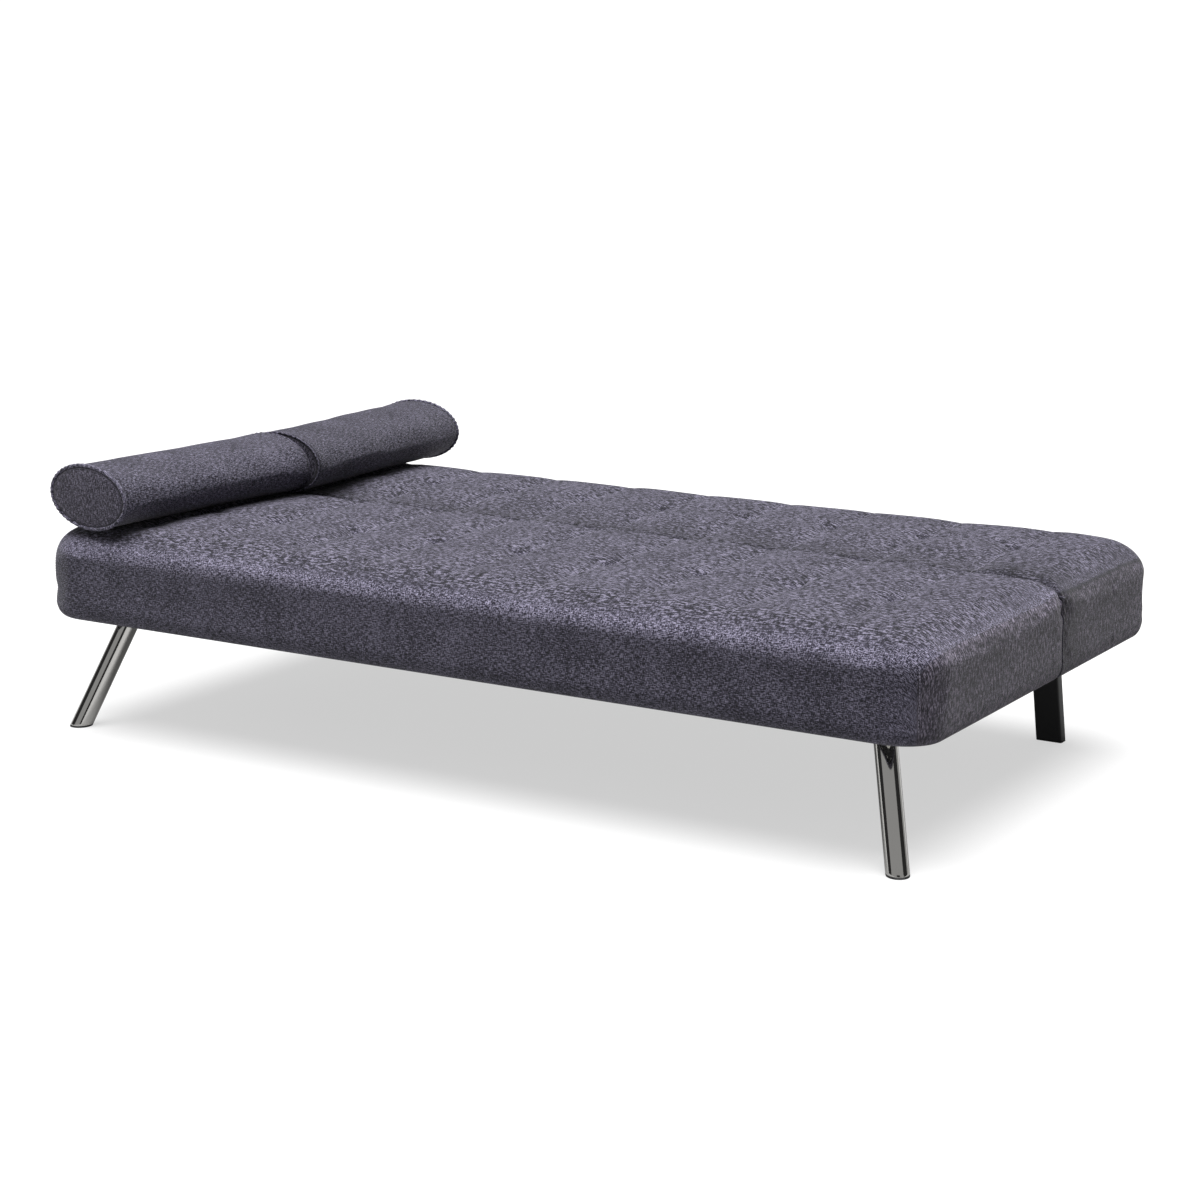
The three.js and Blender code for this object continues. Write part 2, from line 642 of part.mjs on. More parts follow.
// The pawl, drawn as it sits in a notch, then swung clear as it is when the bed is flat.
function pawlSolid(x0, x1) {
  const [pinY, pinZ] = pawlPin;
  const heel = polar(pawlArmRadius, pawlAngle);
  const tip = polar(pawlTipRadius, pawlAngle);
  const along = new THREE.Vector2(heel[0] - pinY, heel[1] - pinZ);
  const across = new THREE.Vector2(-along.y, along.x).setLength(pawlWidth / 2);
  const ahead = along.clone().setLength(pawlWidth / 2);
  const arm = shapeOf([
    [pinY - across.x, pinZ - across.y],
    [heel[0] - across.x + ahead.x, heel[1] - across.y + ahead.y],
    [heel[0] + across.x + ahead.x, heel[1] + across.y + ahead.y],
    [pinY + across.x, pinZ + across.y]]);
  const inward = new THREE.Vector2(-heel[0], -heel[1]).normalize();
  const side = new THREE.Vector2(-inward.y, inward.x);
  const root = [tip[0] - inward.x * pawlToothHeight, tip[1] - inward.y * pawlToothHeight];
  const [tipHalf, rootHalf] = [pawlToothHalfWidth, pawlToothHalfWidth + notchFlare];
  const tooth = shapeOf([
    [tip[0] + side.x * tipHalf, tip[1] + side.y * tipHalf],
    [tip[0] - side.x * tipHalf, tip[1] - side.y * tipHalf],
    [root[0] - side.x * rootHalf, root[1] - side.y * rootHalf],
    [root[0] + side.x * rootHalf, root[1] + side.y * rootHalf]]);
  const body = joined([plateAlongX(arm, x0, x1), plateAlongX(tooth, x0, x1),
    cylinderAlongX(pawlEyeRadius, x0, x1, pinY, pinZ)]);
  const bored = cut(body, [cylinderAlongX(pawlPinRadius + seatGap, x0 - cutOverrun, x1 + cutOverrun,
    pinY, pinZ)]);
  return toGeometry(bored).translate(0, -pinY, -pinZ).rotateX(-rad(pawlSwing)).translate(0, pinY, pinZ);
}

class CoilLine extends THREE.Curve {
  constructor(side) {
    super();
    this.side = side;
  }

  getPoint(t, target = new THREE.Vector3()) {
    const radius = pawlPinRadius + seatGap * 2 + springWire / 2;
    const angle = 2 * Math.PI * springTurns * t;
    const x = sectorInner - seatGap - springWire / 2 - springPitch * springTurns * t;
    return target.set(this.side * x, pawlPin[0] + radius * Math.cos(angle),
      pawlPin[1] + radius * Math.sin(angle));
  }
}

for (const side of seatSides) {
  const unit = new THREE.Group();
  unit.position.set(0, pivotY, pivotZ);
  seat.add(unit);
  const span = (a, b) => (side.at > 0 ? [a, b] : [-b, -a]);
  const [pinY, pinZ] = pawlPin;

  const seatPlate = toSolid(plateAlongX(seatPlateShape(), ...span(seatPlateInner, seatPlateOuter)));
  const seatBolts = hingeBolts.flatMap(([out, up]) => [
    cylinderAlongX(boltRadius, ...span(seatPlateInner - boltHeadHeight / 2, seatRailInner + boltReach),
      -out, up, boltSides),
    cylinderAlongX(boltHeadRadius, ...span(seatPlateInner - boltHeadHeight, seatPlateInner),
      -out, up, hexSides)]);
  const through = span(seatPlateInner - cutOverrun, seatPlateOuter + cutOverrun);
  const seatHinge = cut(seatPlate, [
    cylinderAlongX(pivotPinRadius + seatGap, ...through, 0, 0),
    cylinderAlongX(pawlPinRadius + seatGap, ...through, pinY, pinZ)]);
  place(unit, `hinge_seat_plate_${side.name}`,
    toGeometry(seatBolts.map(toSolid).reduce((all, bolt) => all.add(bolt), seatHinge)), zincSteel);

  const backPlate = cut(toSolid(plateAlongX(backPlateShape(), ...span(sectorInner, sectorOuter))), [
    cylinderAlongX(pivotPinRadius + seatGap,
      ...span(sectorInner - cutOverrun, sectorOuter + cutOverrun), 0, 0)]);
  const backBolts = hingeBolts.flatMap(([out, up]) => [
    cylinderAlongX(boltRadius, ...span(sectorInner - boltHeadHeight / 2, backRailInner + boltReach),
      out, up, boltSides),
    cylinderAlongX(boltHeadRadius, ...span(sectorInner - boltHeadHeight, sectorInner), out, up, hexSides)]);
  place(unit, `hinge_back_plate_${side.name}`,
    toGeometry(backBolts.map(toSolid).reduce((all, bolt) => all.add(bolt), backPlate)), zincSteel);

  const headOuter = span(seatPlateOuter + seatGap, pinHeadOuter);
  const hingePin = joined([
    cylinderAlongX(pivotPinRadius, ...span(sectorInner - seatGap - pinHeadThickness / 2,
      seatPlateOuter + seatGap + pinHeadThickness / 2), 0, 0),
    cylinderAlongX(pinHeadRadius, ...headOuter, 0, 0),
    cylinderAlongX(pinHeadRadius, ...span(sectorInner - seatGap - pinHeadThickness,
      sectorInner - seatGap), 0, 0)]);
  place(unit, `hinge_pin_${side.name}`, toGeometry(hingePin), zincSteel);

  place(unit, `pawl_${side.name}`, pawlSolid(...span(sectorInner, sectorOuter)), zincSteel);
  const pawlPinSolid = joined([
    cylinderAlongX(pawlPinRadius, ...span(pawlPinInner + pinHeadThickness / 2,
      seatPlateOuter + seatGap + pinHeadThickness / 2), pinY, pinZ),
    cylinderAlongX(pinHeadRadius, ...headOuter, pinY, pinZ),
    cylinderAlongX(pinHeadRadius, ...span(pawlPinInner, pawlPinInner + pinHeadThickness), pinY, pinZ)]);
  place(unit, `pawl_pin_${side.name}`, toGeometry(pawlPinSolid), zincSteel);

  const wire = new THREE.Shape();
  wire.absarc(0, 0, springWire / 2, 0, 2 * Math.PI, false);
  const coil = new THREE.ExtrudeGeometry(wire, {
    steps: springTurns * coilSteps, curveSegments: wireSides, bevelEnabled: false,
    extrudePath: new CoilLine(side.at),
  });
  place(unit, `pawl_spring_${side.name}`, coil, zincSteel);
}

// The front legs: round tubes cut level at the floor and under their plates
function slantedRod(radius, side, z0, z1) {
  const lean = new THREE.Vector3(-side.at * legSplayShare, legRakeShare, 1);
  const margin = radius * lean.length();
  const long = (z1 - z0 + 2 * margin) * lean.length();
  const rod = new THREE.CylinderGeometry(radius, radius, long, tubeSides);
  rod.applyQuaternion(new THREE.Quaternion().setFromUnitVectors(
    new THREE.Vector3(0, 1, 0), lean.clone().normalize()));
  const middle = lean.multiplyScalar((z0 + z1) / 2);
  rod.translate(middle.x, middle.y, middle.z);
  const wide = margin * 3 + long;
  return toSolid(rod).intersect(toSolid(boxBetween(-wide, wide, -wide, wide, z0, z1)));
}

for (const side of seatSides) {
  const foot = new THREE.Group();
  foot.position.set(side.at * footSideways, footForward, 0);
  seat.add(foot);
  const tubeTop = legPlateBottom - seatGap;
  const tubeBottom = capThickness + seatGap;
  const tube = slantedRod(legRadius, side, tubeBottom, tubeTop)
    .subtract(slantedRod(legRadius - legWall, side, tubeBottom - cutOverrun, tubeTop + cutOverrun));
  place(foot, `front_leg_${side.name}`, toGeometry(tube), chrome);
  const cap = slantedRod(legRadius, side, 0, capThickness)
    .add(slantedRod(legRadius - legWall - seatGap, side, capThickness / 2, capPlug));
  place(foot, `front_foot_cap_${side.name}`, toGeometry(cap), blackPlastic);

  const plateShape = roundedRect(-legPlateWidth / 2, legPlateWidth / 2,
    -legPlateDepth / 2, legPlateDepth / 2, legPlateCorner);
  const plate = slabBetween(plateShape, legPlateBottom, armTop)
    .translate(side.at * legPlateMiddle, legTopY, 0);
  const bolts = legBoltPlaces(side.at).flatMap(([x, y]) => [
    cylinderAlongZ(boltRadius, legPlateBottom - boltHeadHeight / 2, armTop + legBoltReach, x, y, boltSides),
    cylinderAlongZ(boltHeadRadius, legPlateBottom - boltHeadHeight, legPlateBottom, x, y, hexSides)]);
  place(seat, `front_leg_plate_${side.name}`, toGeometry(joined([plate, ...bolts])), chrome);
}

// The rear legs: flat arms that run under the backrest, with raked rectangular tubes below their ends
const lean = rad(rearLegLean);
const legShift = Math.tan(lean) * armBottom;
const legRun = rearLegThickness / Math.cos(lean);
const armEnd = rearFootFace - legShift + legRun;

function rakedBox(width, thicknessInset, z0, z1) {
  const inset = thicknessInset / Math.cos(lean);
  const at = (z) => rearFootFace - Math.tan(lean) * z;
  return plateAlongX(shapeOf([
    [at(z0) + inset, z0], [at(z0) + legRun - inset, z0],
    [at(z1) + legRun - inset, z1], [at(z1) + inset, z1]]), -width / 2, width / 2);
}

for (const side of seatSides) {
  const unit = new THREE.Group();
  unit.position.x = side.at * rearLegPlace;
  seat.add(unit);
  const half = rearLegWidth / 2;
  const hollow = half - rearLegWall;
  const arm = cut(toSolid(boxBetween(-half, half, armStart, armEnd, armBottom, armTop)), [
    boxBetween(-hollow, hollow, armStart - cutOverrun, armEnd - rearLegWall,
      armBottom + rearLegWall, armTop - rearLegWall)]);
  const bolts = [centreRailPlace, innerRailMiddle].flatMap((y) => [
    cylinderAlongZ(armBoltRadius, armBottom - armBoltHeadHeight / 2, armTop + armBoltReach, 0, y),
    cylinderAlongZ(armBoltHead, armBottom - armBoltHeadHeight, armBottom, 0, y, hexSides)]);
  place(unit, `rear_arm_${side.name}`,
    toGeometry(bolts.map(toSolid).reduce((all, bolt) => all.add(bolt), arm)), blackSteel);

  const [legBottom, legTop] = [capThickness + seatGap, armBottom - seatGap];
  const leg = toSolid(rakedBox(rearLegWidth, 0, legBottom, legTop)).subtract(toSolid(
    rakedBox(rearLegWidth - 2 * rearLegWall, rearLegWall, legBottom - cutOverrun, legTop + cutOverrun)));
  place(unit, `rear_leg_${side.name}`, toGeometry(leg), blackSteel);
  const plugWidth = rearLegWidth - 2 * (rearLegWall + seatGap);
  const cap = joined([rakedBox(rearLegWidth, 0, 0, capThickness),
    rakedBox(plugWidth, rearLegWall + seatGap, capThickness / 2, capPlug)]);
  place(unit, `rear_foot_cap_${side.name}`, toGeometry(cap), blackPlastic);
}

// The bolsters: oval pillows with a piped end panel at each end
// The oval's size as a share of the full section, then how far in from the tip.
const bolsterEndShares = [[0, 0], [0.55, 0.3 * bolsterPipeInset], [0.86, 0.75 * bolsterPipeInset],
  [0.94, bolsterPipeInset], [0.965, bolsterPipeInset + 0.25 * bolsterRollLength],
  [1, bolsterPipeInset + bolsterRollLength]];

function bolsterGeometry(length, { width, thickness, tilt }) {
  const near = bolsterEndShares.map(([share, inset]) => [share, inset - length / 2]);
  const points = [...near, [1, 0], ...[...near].reverse().map(([share, y]) => [share, -y])]
    .map(([share, y]) => new THREE.Vector2(share, y));
  const lathe = new THREE.LatheGeometry(points, bolsterSides);
  lathe.scale(width / 2, 1, thickness / 2);
  return toGeometry(toSolid(lathe.rotateY(-tilt)));
}

function sectionShare(inset) {
  const after = bolsterEndShares.findIndex(([, at]) => at > inset);
  if (after < 1) return 1;
  const [[share0, at0], [share1, at1]] = [bolsterEndShares[after - 1], bolsterEndShares[after]];
  return share0 + (share1 - share0) * (inset - at0) / (at1 - at0);
}

// The height of a bolster's middle line when its underside just clears the quilted top.
function restingHeight(start, end, [x0, x1], { width, thickness, tilt }) {
  let height = 0;
  for (let j = 1; j < restSteps; j += 1) {
    const y = start + (end - start) * j / restSteps;
    const size = sectionShare(Math.min(y - start, end - y)) / 4;
    for (let k = 0; k < bolsterSides * 2; k += 1) {
      const turns = [Math.floor(k / 2), Math.ceil(k / 2)].map((at) => 2 * Math.PI * at / bolsterSides);
      const u = size * width * (Math.sin(turns[0]) + Math.sin(turns[1]));
      const v = size * thickness * (Math.cos(turns[0]) + Math.cos(turns[1]));
      const x = x0 + (x1 - x0) * j / restSteps + u * Math.cos(tilt) - v * Math.sin(tilt);
      const drop = u * Math.sin(tilt) + v * Math.cos(tilt);
      const [depth, inward] = y < pivotY ? [seatDepth, y] : [backDepth, totalDepth - y];
      if (Math.abs(x) < halfLength && inward > 0 && inward < depth) {
        height = Math.max(height, facetHeight(x, inward, depth) - drop);
      }
    }
  }
  return height + seatGap;
}

function addBolster(name, start, end, shape) {
  const [x0, x1] = shape.insets.map((inset) => inset - halfLength);
  const turn = Math.atan2(x1 - x0, end - start);
  const length = Math.hypot(x1 - x0, end - start) - bolsterGap / 2;
  const bolster = place(bed, name, bolsterGeometry(length, shape), fabric);
  bolster.position.set((x0 + x1) / 2, (start + end) / 2, restingHeight(start, end, [x0, x1], shape));
  bolster.rotation.z = -turn;
}

addBolster('bolster_front', bolsterFrontStart, bolsterMeet - bolsterGap / 2, bolsterFront);
addBolster('bolster_rear', bolsterMeet + bolsterGap / 2, bolsterRearEnd, bolsterRear);

export default bed;
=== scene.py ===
# A click clack sofa bed laid flat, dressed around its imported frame. Metres, X along the bed.
import math

import bmesh
import bpy
import numpy as np
from mathutils import Euler, Matrix, Vector
from mathutils.bvhtree import BVHTree


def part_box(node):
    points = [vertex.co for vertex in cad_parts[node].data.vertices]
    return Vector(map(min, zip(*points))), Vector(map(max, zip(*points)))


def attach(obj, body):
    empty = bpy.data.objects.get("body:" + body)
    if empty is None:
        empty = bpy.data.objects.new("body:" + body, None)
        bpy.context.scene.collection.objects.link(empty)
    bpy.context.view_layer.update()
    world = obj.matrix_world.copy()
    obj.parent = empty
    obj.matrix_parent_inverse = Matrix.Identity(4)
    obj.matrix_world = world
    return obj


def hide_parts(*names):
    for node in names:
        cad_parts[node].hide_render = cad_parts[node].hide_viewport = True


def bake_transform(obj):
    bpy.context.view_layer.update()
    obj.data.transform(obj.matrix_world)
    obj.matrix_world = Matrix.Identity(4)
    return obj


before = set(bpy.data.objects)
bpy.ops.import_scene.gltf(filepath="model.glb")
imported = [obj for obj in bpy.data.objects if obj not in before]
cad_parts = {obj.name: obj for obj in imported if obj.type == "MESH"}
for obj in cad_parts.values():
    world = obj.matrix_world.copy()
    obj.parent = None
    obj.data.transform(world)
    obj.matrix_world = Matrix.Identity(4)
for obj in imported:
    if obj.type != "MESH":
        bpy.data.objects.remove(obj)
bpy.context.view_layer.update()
scene = bpy.context.scene

# Camera, floor and light
stageLook = {
    "cameraPlace": (2.4562, -3.9455, 1.2691),
    "cameraPitch": 12.356,  # degrees down
    "cameraYaw": 31.777,
    "lens": 77.54,
    "floorSize": 60.0,
    "floorAlbedo": 0.30,
    "floorGlow": 0.59,
    "floorFill": 0.10,
    "skyStrength": 0.37,
    "keyAim": (-0.03, 0.065, -1.0),
    "keySpread": 62.0,  # degrees across the soft light
    "keyStrength": 6.6,
    "flagAngles": ((-62, 16), (18, 22), (118, 30), (205, 26)),  # dark studio flags: heading, half width
    "flagShade": 0.03,
}


def socketOf(node, name):
    return next(s for s in node.inputs if s.name == name and s.enabled)


def addNode(tree, kind, place=(0, 0), **settings):
    node = tree.nodes.new(kind)
    node.location = place
    for key, value in settings.items():
        setattr(node, key, value)
    return node


def mathNode(tree, operation, a, b=None, c=None):
    node = addNode(tree, "ShaderNodeMath", operation=operation)
    for k, value in enumerate((a, b, c)):
        if value is None:
            continue
        if isinstance(value, (int, float)):
            node.inputs[k].default_value = value
        else:
            tree.links.new(value, node.inputs[k])
    return node.outputs[0]


def makeStage(look):
    camera = bpy.data.objects.new("camera", bpy.data.cameras.new("camera"))
    camera.location = look["cameraPlace"]
    camera.rotation_euler = Euler((math.radians(90 - look["cameraPitch"]), 0, math.radians(look["cameraYaw"])))
    camera.data.sensor_width = 36
    camera.data.lens = look["lens"]
    camera.data.clip_end = 200
    scene.collection.objects.link(camera)
    scene.camera = camera
    scene.view_settings.view_transform = "Standard"

    half = look["floorSize"] / 2
    floorMesh = bpy.data.meshes.new("floor")
    floorMesh.from_pydata([(-half, -half, 0), (half, -half, 0), (half, half, 0), (-half, half, 0)],
                          [], [(0, 1, 2, 3)])
    floor = bpy.data.objects.new("floor", floorMesh)
    scene.collection.objects.link(floor)
    paper = bpy.data.materials.new("studioPaper")
    paper.use_nodes = True
    tree = paper.node_tree
    bsdf = tree.nodes["Principled BSDF"]
    bsdf.inputs["Base Color"].default_value = (look["floorAlbedo"],) * 3 + (1,)
    bsdf.inputs["Roughness"].default_value = 0.9
    bsdf.inputs["Specular IOR Level"].default_value = 0.0
    bsdf.inputs["Emission Color"].default_value = (1, 1, 1, 1)
    path = addNode(tree, "ShaderNodeLightPath")
    glow = mathNode(tree, "MULTIPLY_ADD", path.outputs["Is Camera Ray"],
                    look["floorGlow"] - look["floorFill"], look["floorFill"])
    tree.links.new(glow, bsdf.inputs["Emission Strength"])
    floorMesh.materials.append(paper)

    # An even sky with dark flags near the horizon, which only reflections notice
    world = bpy.data.worlds.new("studio")
    world.use_nodes = True
    scene.world = world
    tree = world.node_tree
    background = tree.nodes["Background"]
    direction = addNode(tree, "ShaderNodeTexCoord")
    split = addNode(tree, "ShaderNodeSeparateXYZ")
    tree.links.new(direction.outputs["Generated"], split.inputs[0])
    heading = mathNode(tree, "ARCTAN2", split.outputs["Y"], split.outputs["X"])
    flags = None
    for angle, halfWidth in look["flagAngles"]:
        away = mathNode(tree, "SUBTRACT", heading, math.radians(angle))
        wrapped = mathNode(tree, "WRAP", away, math.pi, -math.pi)
        near = mathNode(tree, "LESS_THAN", mathNode(tree, "ABSOLUTE", wrapped), math.radians(halfWidth))
        flags = near if flags is None else mathNode(tree, "MAXIMUM", flags, near)
    low = mathNode(tree, "LESS_THAN", mathNode(tree, "ABSOLUTE", split.outputs["Z"]), 0.5)
    dark = mathNode(tree, "MULTIPLY", flags, low)
    strength = mathNode(tree, "MULTIPLY_ADD", dark, look["flagShade"] - look["skyStrength"], look["skyStrength"])
    path = addNode(tree, "ShaderNodeLightPath")
    seen = mathNode(tree, "MAXIMUM", mathNode(tree, "MULTIPLY", path.outputs["Is Camera Ray"], 1.1), strength)
    tree.links.new(seen, background.inputs["Strength"])
    background.inputs["Color"].default_value = (1, 1, 1, 1)

    key = bpy.data.objects.new("keyLight", bpy.data.lights.new("keyLight", "SUN"))
    key.data.angle = math.radians(look["keySpread"])
    key.data.energy = look["keyStrength"]
    key.rotation_euler = Vector(look["keyAim"]).to_track_quat("-Z", "Y").to_euler()
    scene.collection.objects.link(key)
    print("stage: camera, floor, sky and key light")


makeStage(stageLook)


# Shader groups shared by several materials
def newGroup(name, inputs, outputs):
    group = bpy.data.node_groups.new(name, "ShaderNodeTree")
    for label, kind, value in inputs:
        socket = group.interface.new_socket(name=label, in_out="INPUT", socket_type=kind)
        if value is not None:
            socket.default_value = value
    for label, kind in outputs:
        group.interface.new_socket(name=label, in_out="OUTPUT", socket_type=kind)
    return group, addNode(group, "NodeGroupInput"), addNode(group, "NodeGroupOutput")


def noiseNode(tree, vector, scale, detail=2.0, roughness=0.5, dimensions="3D"):
    node = addNode(tree, "ShaderNodeTexNoise", noise_dimensions=dimensions)
    tree.links.new(vector, node.inputs["Vector"])
    node.inputs["Scale"].default_value = scale
    node.inputs["Detail"].default_value = detail
    node.inputs["Roughness"].default_value = roughness
    return node.outputs["Fac"]


def stretched(tree, vector, scale, turn=0.0):
    node = addNode(tree, "ShaderNodeMapping")
    tree.links.new(vector, node.inputs["Vector"])
    node.inputs["Scale"].default_value = scale
    node.inputs["Rotation"].default_value = (0, 0, turn)
    return node.outputs[0]


def rampNode(tree, value, low, high):
    node = addNode(tree, "ShaderNodeMapRange", clamp=True)
    tree.links.new(value, node.inputs["Value"])
    node.inputs["From Min"].default_value = low
    node.inputs["From Max"].default_value = high
    return node.outputs["Result"]


def mixColour(tree, share, a, b, blend="MIX"):
    node = addNode(tree, "ShaderNodeMix", data_type="RGBA", blend_type=blend)
    factor, first, second = node.inputs[0], node.inputs[6], node.inputs[7]
    for socket, value in ((factor, share), (first, a), (second, b)):
        if hasattr(value, "is_linked") or hasattr(value, "links"):
            tree.links.new(value, socket)
        else:
            socket.default_value = value if isinstance(value, (int, float)) else tuple(value) + (1,)
    return node.outputs[2]


weaveLook = {
    "dark": (0.0034, 0.0031, 0.0060),
    "middle": (0.0232, 0.0210, 0.0340),
    "light": (0.172, 0.161, 0.220),
    # End panels: a warmer tint, with painted shade that darkens them by about a tenth
    "endPanelTintAndShade": (0.93, 0.875, 0.84),
    "strands": (((105, 800), 0.40), ((210, 620), 0.20), ((820, 170), 0.30), ((560, 120), 0.14), ((900, 900), 0.16)),
    "openStrands": (((74, 268), 0.48), ((140, 470), 0.28), ((330, 118), 0.22), ((220, 650), 0.16), ((480, 480), 0.14)),
    "darkAt": 0.435,
    "middleAt": 0.500,
    "lightAt": 0.570,
}


def melangeGroup(look):
    group, inner, outer = newGroup(
        "melangeWeave",
        [("Weave place", "NodeSocketVector", None), ("Openness", "NodeSocketFloat", 0.0), ("End panel tint and shade", "NodeSocketFloat", 0.0),
         ("Seam shade", "NodeSocketFloat", 0.0), ("Tone", "NodeSocketFloat", 1.0)],
        [("Colour", "NodeSocketColor"), ("Height", "NodeSocketFloat"), ("Roughness", "NodeSocketFloat")])
    place = inner.outputs["Weave place"]
    # Strands of the weft run along U, those of the warp across it, each fine and slubby
    slubs = mathNode(group, "MULTIPLY_ADD", noiseNode(group, place, 13.0, 3.0), 0.07, -0.035)
    sums = []
    for key in ("strands", "openStrands"):
        total = mathNode(group, "ADD", slubs, 0.5 - sum(share for _, share in look[key]) / 2)
        for (lengthwise, crosswise), share in look[key]:
            strand = noiseNode(group, stretched(group, place, (lengthwise, crosswise, 1)), 1.0, 1.5, 0.6)
            total = mathNode(group, "MULTIPLY_ADD", strand, share, total)
        sums.append(total)
    change = mathNode(group, "SUBTRACT", sums[1], sums[0])
    threads = mathNode(group, "MULTIPLY_ADD", change, inner.outputs["Openness"], sums[0])
    shade = mixColour(group, rampNode(group, threads, look["darkAt"], look["middleAt"]), look["dark"], look["middle"])
    shade = mixColour(group, rampNode(group, threads, look["middleAt"], look["lightAt"]), shade, look["light"])
    # End panels are tinted warmer and darkened: a tint plus painted shade
    endTintShade = mixColour(group, inner.outputs["End panel tint and shade"], (1, 1, 1), look["endPanelTintAndShade"])
    shade = mixColour(group, 1.0, shade, endTintShade, "MULTIPLY")
    toned = addNode(group, "ShaderNodeVectorMath", operation="SCALE")
    group.links.new(shade, toned.inputs[0])
    group.links.new(inner.outputs["Tone"], toned.inputs["Scale"])
    seamed = mixColour(group, inner.outputs["Seam shade"], toned.outputs[0], (0.008, 0.008, 0.011))
    group.links.new(seamed, outer.inputs["Colour"])
    # The plain weave itself, over and under every 1.3 mm
    split = addNode(group, "ShaderNodeSeparateXYZ")
    group.links.new(place, split.inputs[0])
    waves = [mathNode(group, "SINE", mathNode(group, "MULTIPLY", split.outputs[axis], 2 * math.pi / 0.0013))
             for axis in ("X", "Y")]
    woven = mathNode(group, "MULTIPLY_ADD", mathNode(group, "MULTIPLY", waves[0], waves[1]), 0.18, threads)
    group.links.new(woven, outer.inputs["Height"])
    group.links.new(mathNode(group, "MULTIPLY_ADD", threads, -0.25, 0.98), outer.inputs["Roughness"])
    return group


melange = melangeGroup(weaveLook)


def newMaterial(name):
    material = bpy.data.materials.new(name)
    material.use_nodes = True
    return material, material.node_tree, material.node_tree.nodes["Principled BSDF"]


def fabricMaterial(name, tone=1.0, endPanelTintAndShade=0.0, usesAttributes=True, seamShade=0.3, quiltLift=0.0,
                   bumpDistance=0.0007, crestHighlightLift=0.0, openTop=1.0, openEnds=0.0):
    material, tree, bsdf = newMaterial(name)
    uv = addNode(tree, "ShaderNodeUVMap", uv_map="weave")
    weave = addNode(tree, "ShaderNodeGroup")
    weave.node_tree = melange
    tree.links.new(uv.outputs[0], weave.inputs["Weave place"])
    weave.inputs["Tone"].default_value = tone
    weave.inputs["End panel tint and shade"].default_value = endPanelTintAndShade
    # The cloth is stretched more open on top and at the ends, and painted lighter over its rolled edges where they face
    # half up: a painted highlight
    facing = addNode(tree, "ShaderNodeSeparateXYZ")
    tree.links.new(addNode(tree, "ShaderNodeTexCoord").outputs["Normal"], facing.inputs[0])
    upward = facing.outputs["Z"]
    onTop = mathNode(tree, "MULTIPLY", rampNode(tree, upward, 0.72, 0.93), openTop)
    endPanel = addNode(tree, "ShaderNodeAttribute", attribute_name="endPanelTintAndShade")
    atEnds = mathNode(tree, "MULTIPLY", endPanel.outputs["Fac"], openEnds)
    tree.links.new(mathNode(tree, "MAXIMUM", onTop, atEnds), weave.inputs["Openness"])
    level = mathNode(tree, "SUBTRACT", 1.0, rampNode(tree, upward, 0.62, 0.93))
    crestHighlight = mathNode(tree, "MULTIPLY", rampNode(tree, upward, 0.20, 0.52), level)
    if usesAttributes:
        tree.links.new(endPanel.outputs["Fac"], weave.inputs["End panel tint and shade"])
        seamNode = addNode(tree, "ShaderNodeAttribute", attribute_name="seamAway")
        near = mathNode(tree, "SUBTRACT", 1.0, rampNode(tree, seamNode.outputs["Fac"], 0.0010, 0.0032))
        tree.links.new(mathNode(tree, "MULTIPLY", near, seamShade), weave.inputs["Seam shade"])
        # quiltLine raises the tone along the quilting lines and corner mitres, where their threads catch the light, and
        # lowers it on the slope into the valley: painted highlight and painted shade
        quiltNode = addNode(tree, "ShaderNodeAttribute", attribute_name="quiltLine")
        # Painted highlight: the tone is raised over the rolled edges
        lifted = mathNode(tree, "MULTIPLY_ADD", crestHighlight, crestHighlightLift, tone)
        tree.links.new(mathNode(tree, "MULTIPLY_ADD", quiltNode.outputs["Fac"], quiltLift, lifted),
                       weave.inputs["Tone"])
    tree.links.new(weave.outputs["Colour"], bsdf.inputs["Base Color"])
    tree.links.new(weave.outputs["Roughness"], bsdf.inputs["Roughness"])
    bump = addNode(tree, "ShaderNodeBump")
    bump.inputs["Strength"].default_value = 0.85
    bump.inputs["Distance"].default_value = bumpDistance
    tree.links.new(weave.outputs["Height"], bump.inputs["Height"])
    tree.links.new(bump.outputs[0], bsdf.inputs["Normal"])
    bsdf.inputs["Specular IOR Level"].default_value = 0.25
    bsdf.inputs["Sheen Weight"].default_value = 0.12
    bsdf.inputs["Sheen Roughness"].default_value = 0.45
    return material


seatFabric = fabricMaterial("seatFabric", tone=0.95, seamShade=0.16, quiltLift=0.24, crestHighlightLift=0.75, openEnds=0.6)
backFabric = fabricMaterial("backFabric", tone=0.93, seamShade=0.75, quiltLift=0.20, crestHighlightLift=0.10, openEnds=0.6)
print("materials: fabric")


# Mesh helpers
def meshObject(name, verts, faces, materials=()):
    mesh = bpy.data.meshes.new(name)
    mesh.from_pydata([tuple(v) for v in verts], [], faces)
    mesh.validate()
    obj = bpy.data.objects.new(name, mesh)
    scene.collection.objects.link(obj)
    for material in materials:
        mesh.materials.append(material)
    return obj


def pointsOf(obj):
    co = np.zeros(len(obj.data.vertices) * 3)
    obj.data.vertices.foreach_get("co", co)
    return co.reshape(-1, 3)


def setPoints(obj, points):
    obj.data.vertices.foreach_set("co", np.asarray(points, float).ravel())
    obj.data.update()


def pointAttribute(obj, name, values):
    attribute = obj.data.attributes.new(name, "FLOAT", "POINT")
    attribute.data.foreach_set("value", np.asarray(values, np.float32).ravel())


def smoothShade(obj, angle=None):
    obj.data.shade_smooth()
    if angle is not None:
        obj.data.set_sharp_from_angle(angle=math.radians(angle))


# Applies every modifier, so that the piece is a plain mesh.
def applied(obj):
    graph = bpy.context.evaluated_depsgraph_get()
    finished = bpy.data.meshes.new_from_object(obj.evaluated_get(graph), preserve_all_data_layers=True,
                                               depsgraph=graph)
    old = obj.data
    obj.modifiers.clear()
    obj.data = finished
    finished.name = obj.name
    if old.users == 0:
        bpy.data.meshes.remove(old)
    return obj


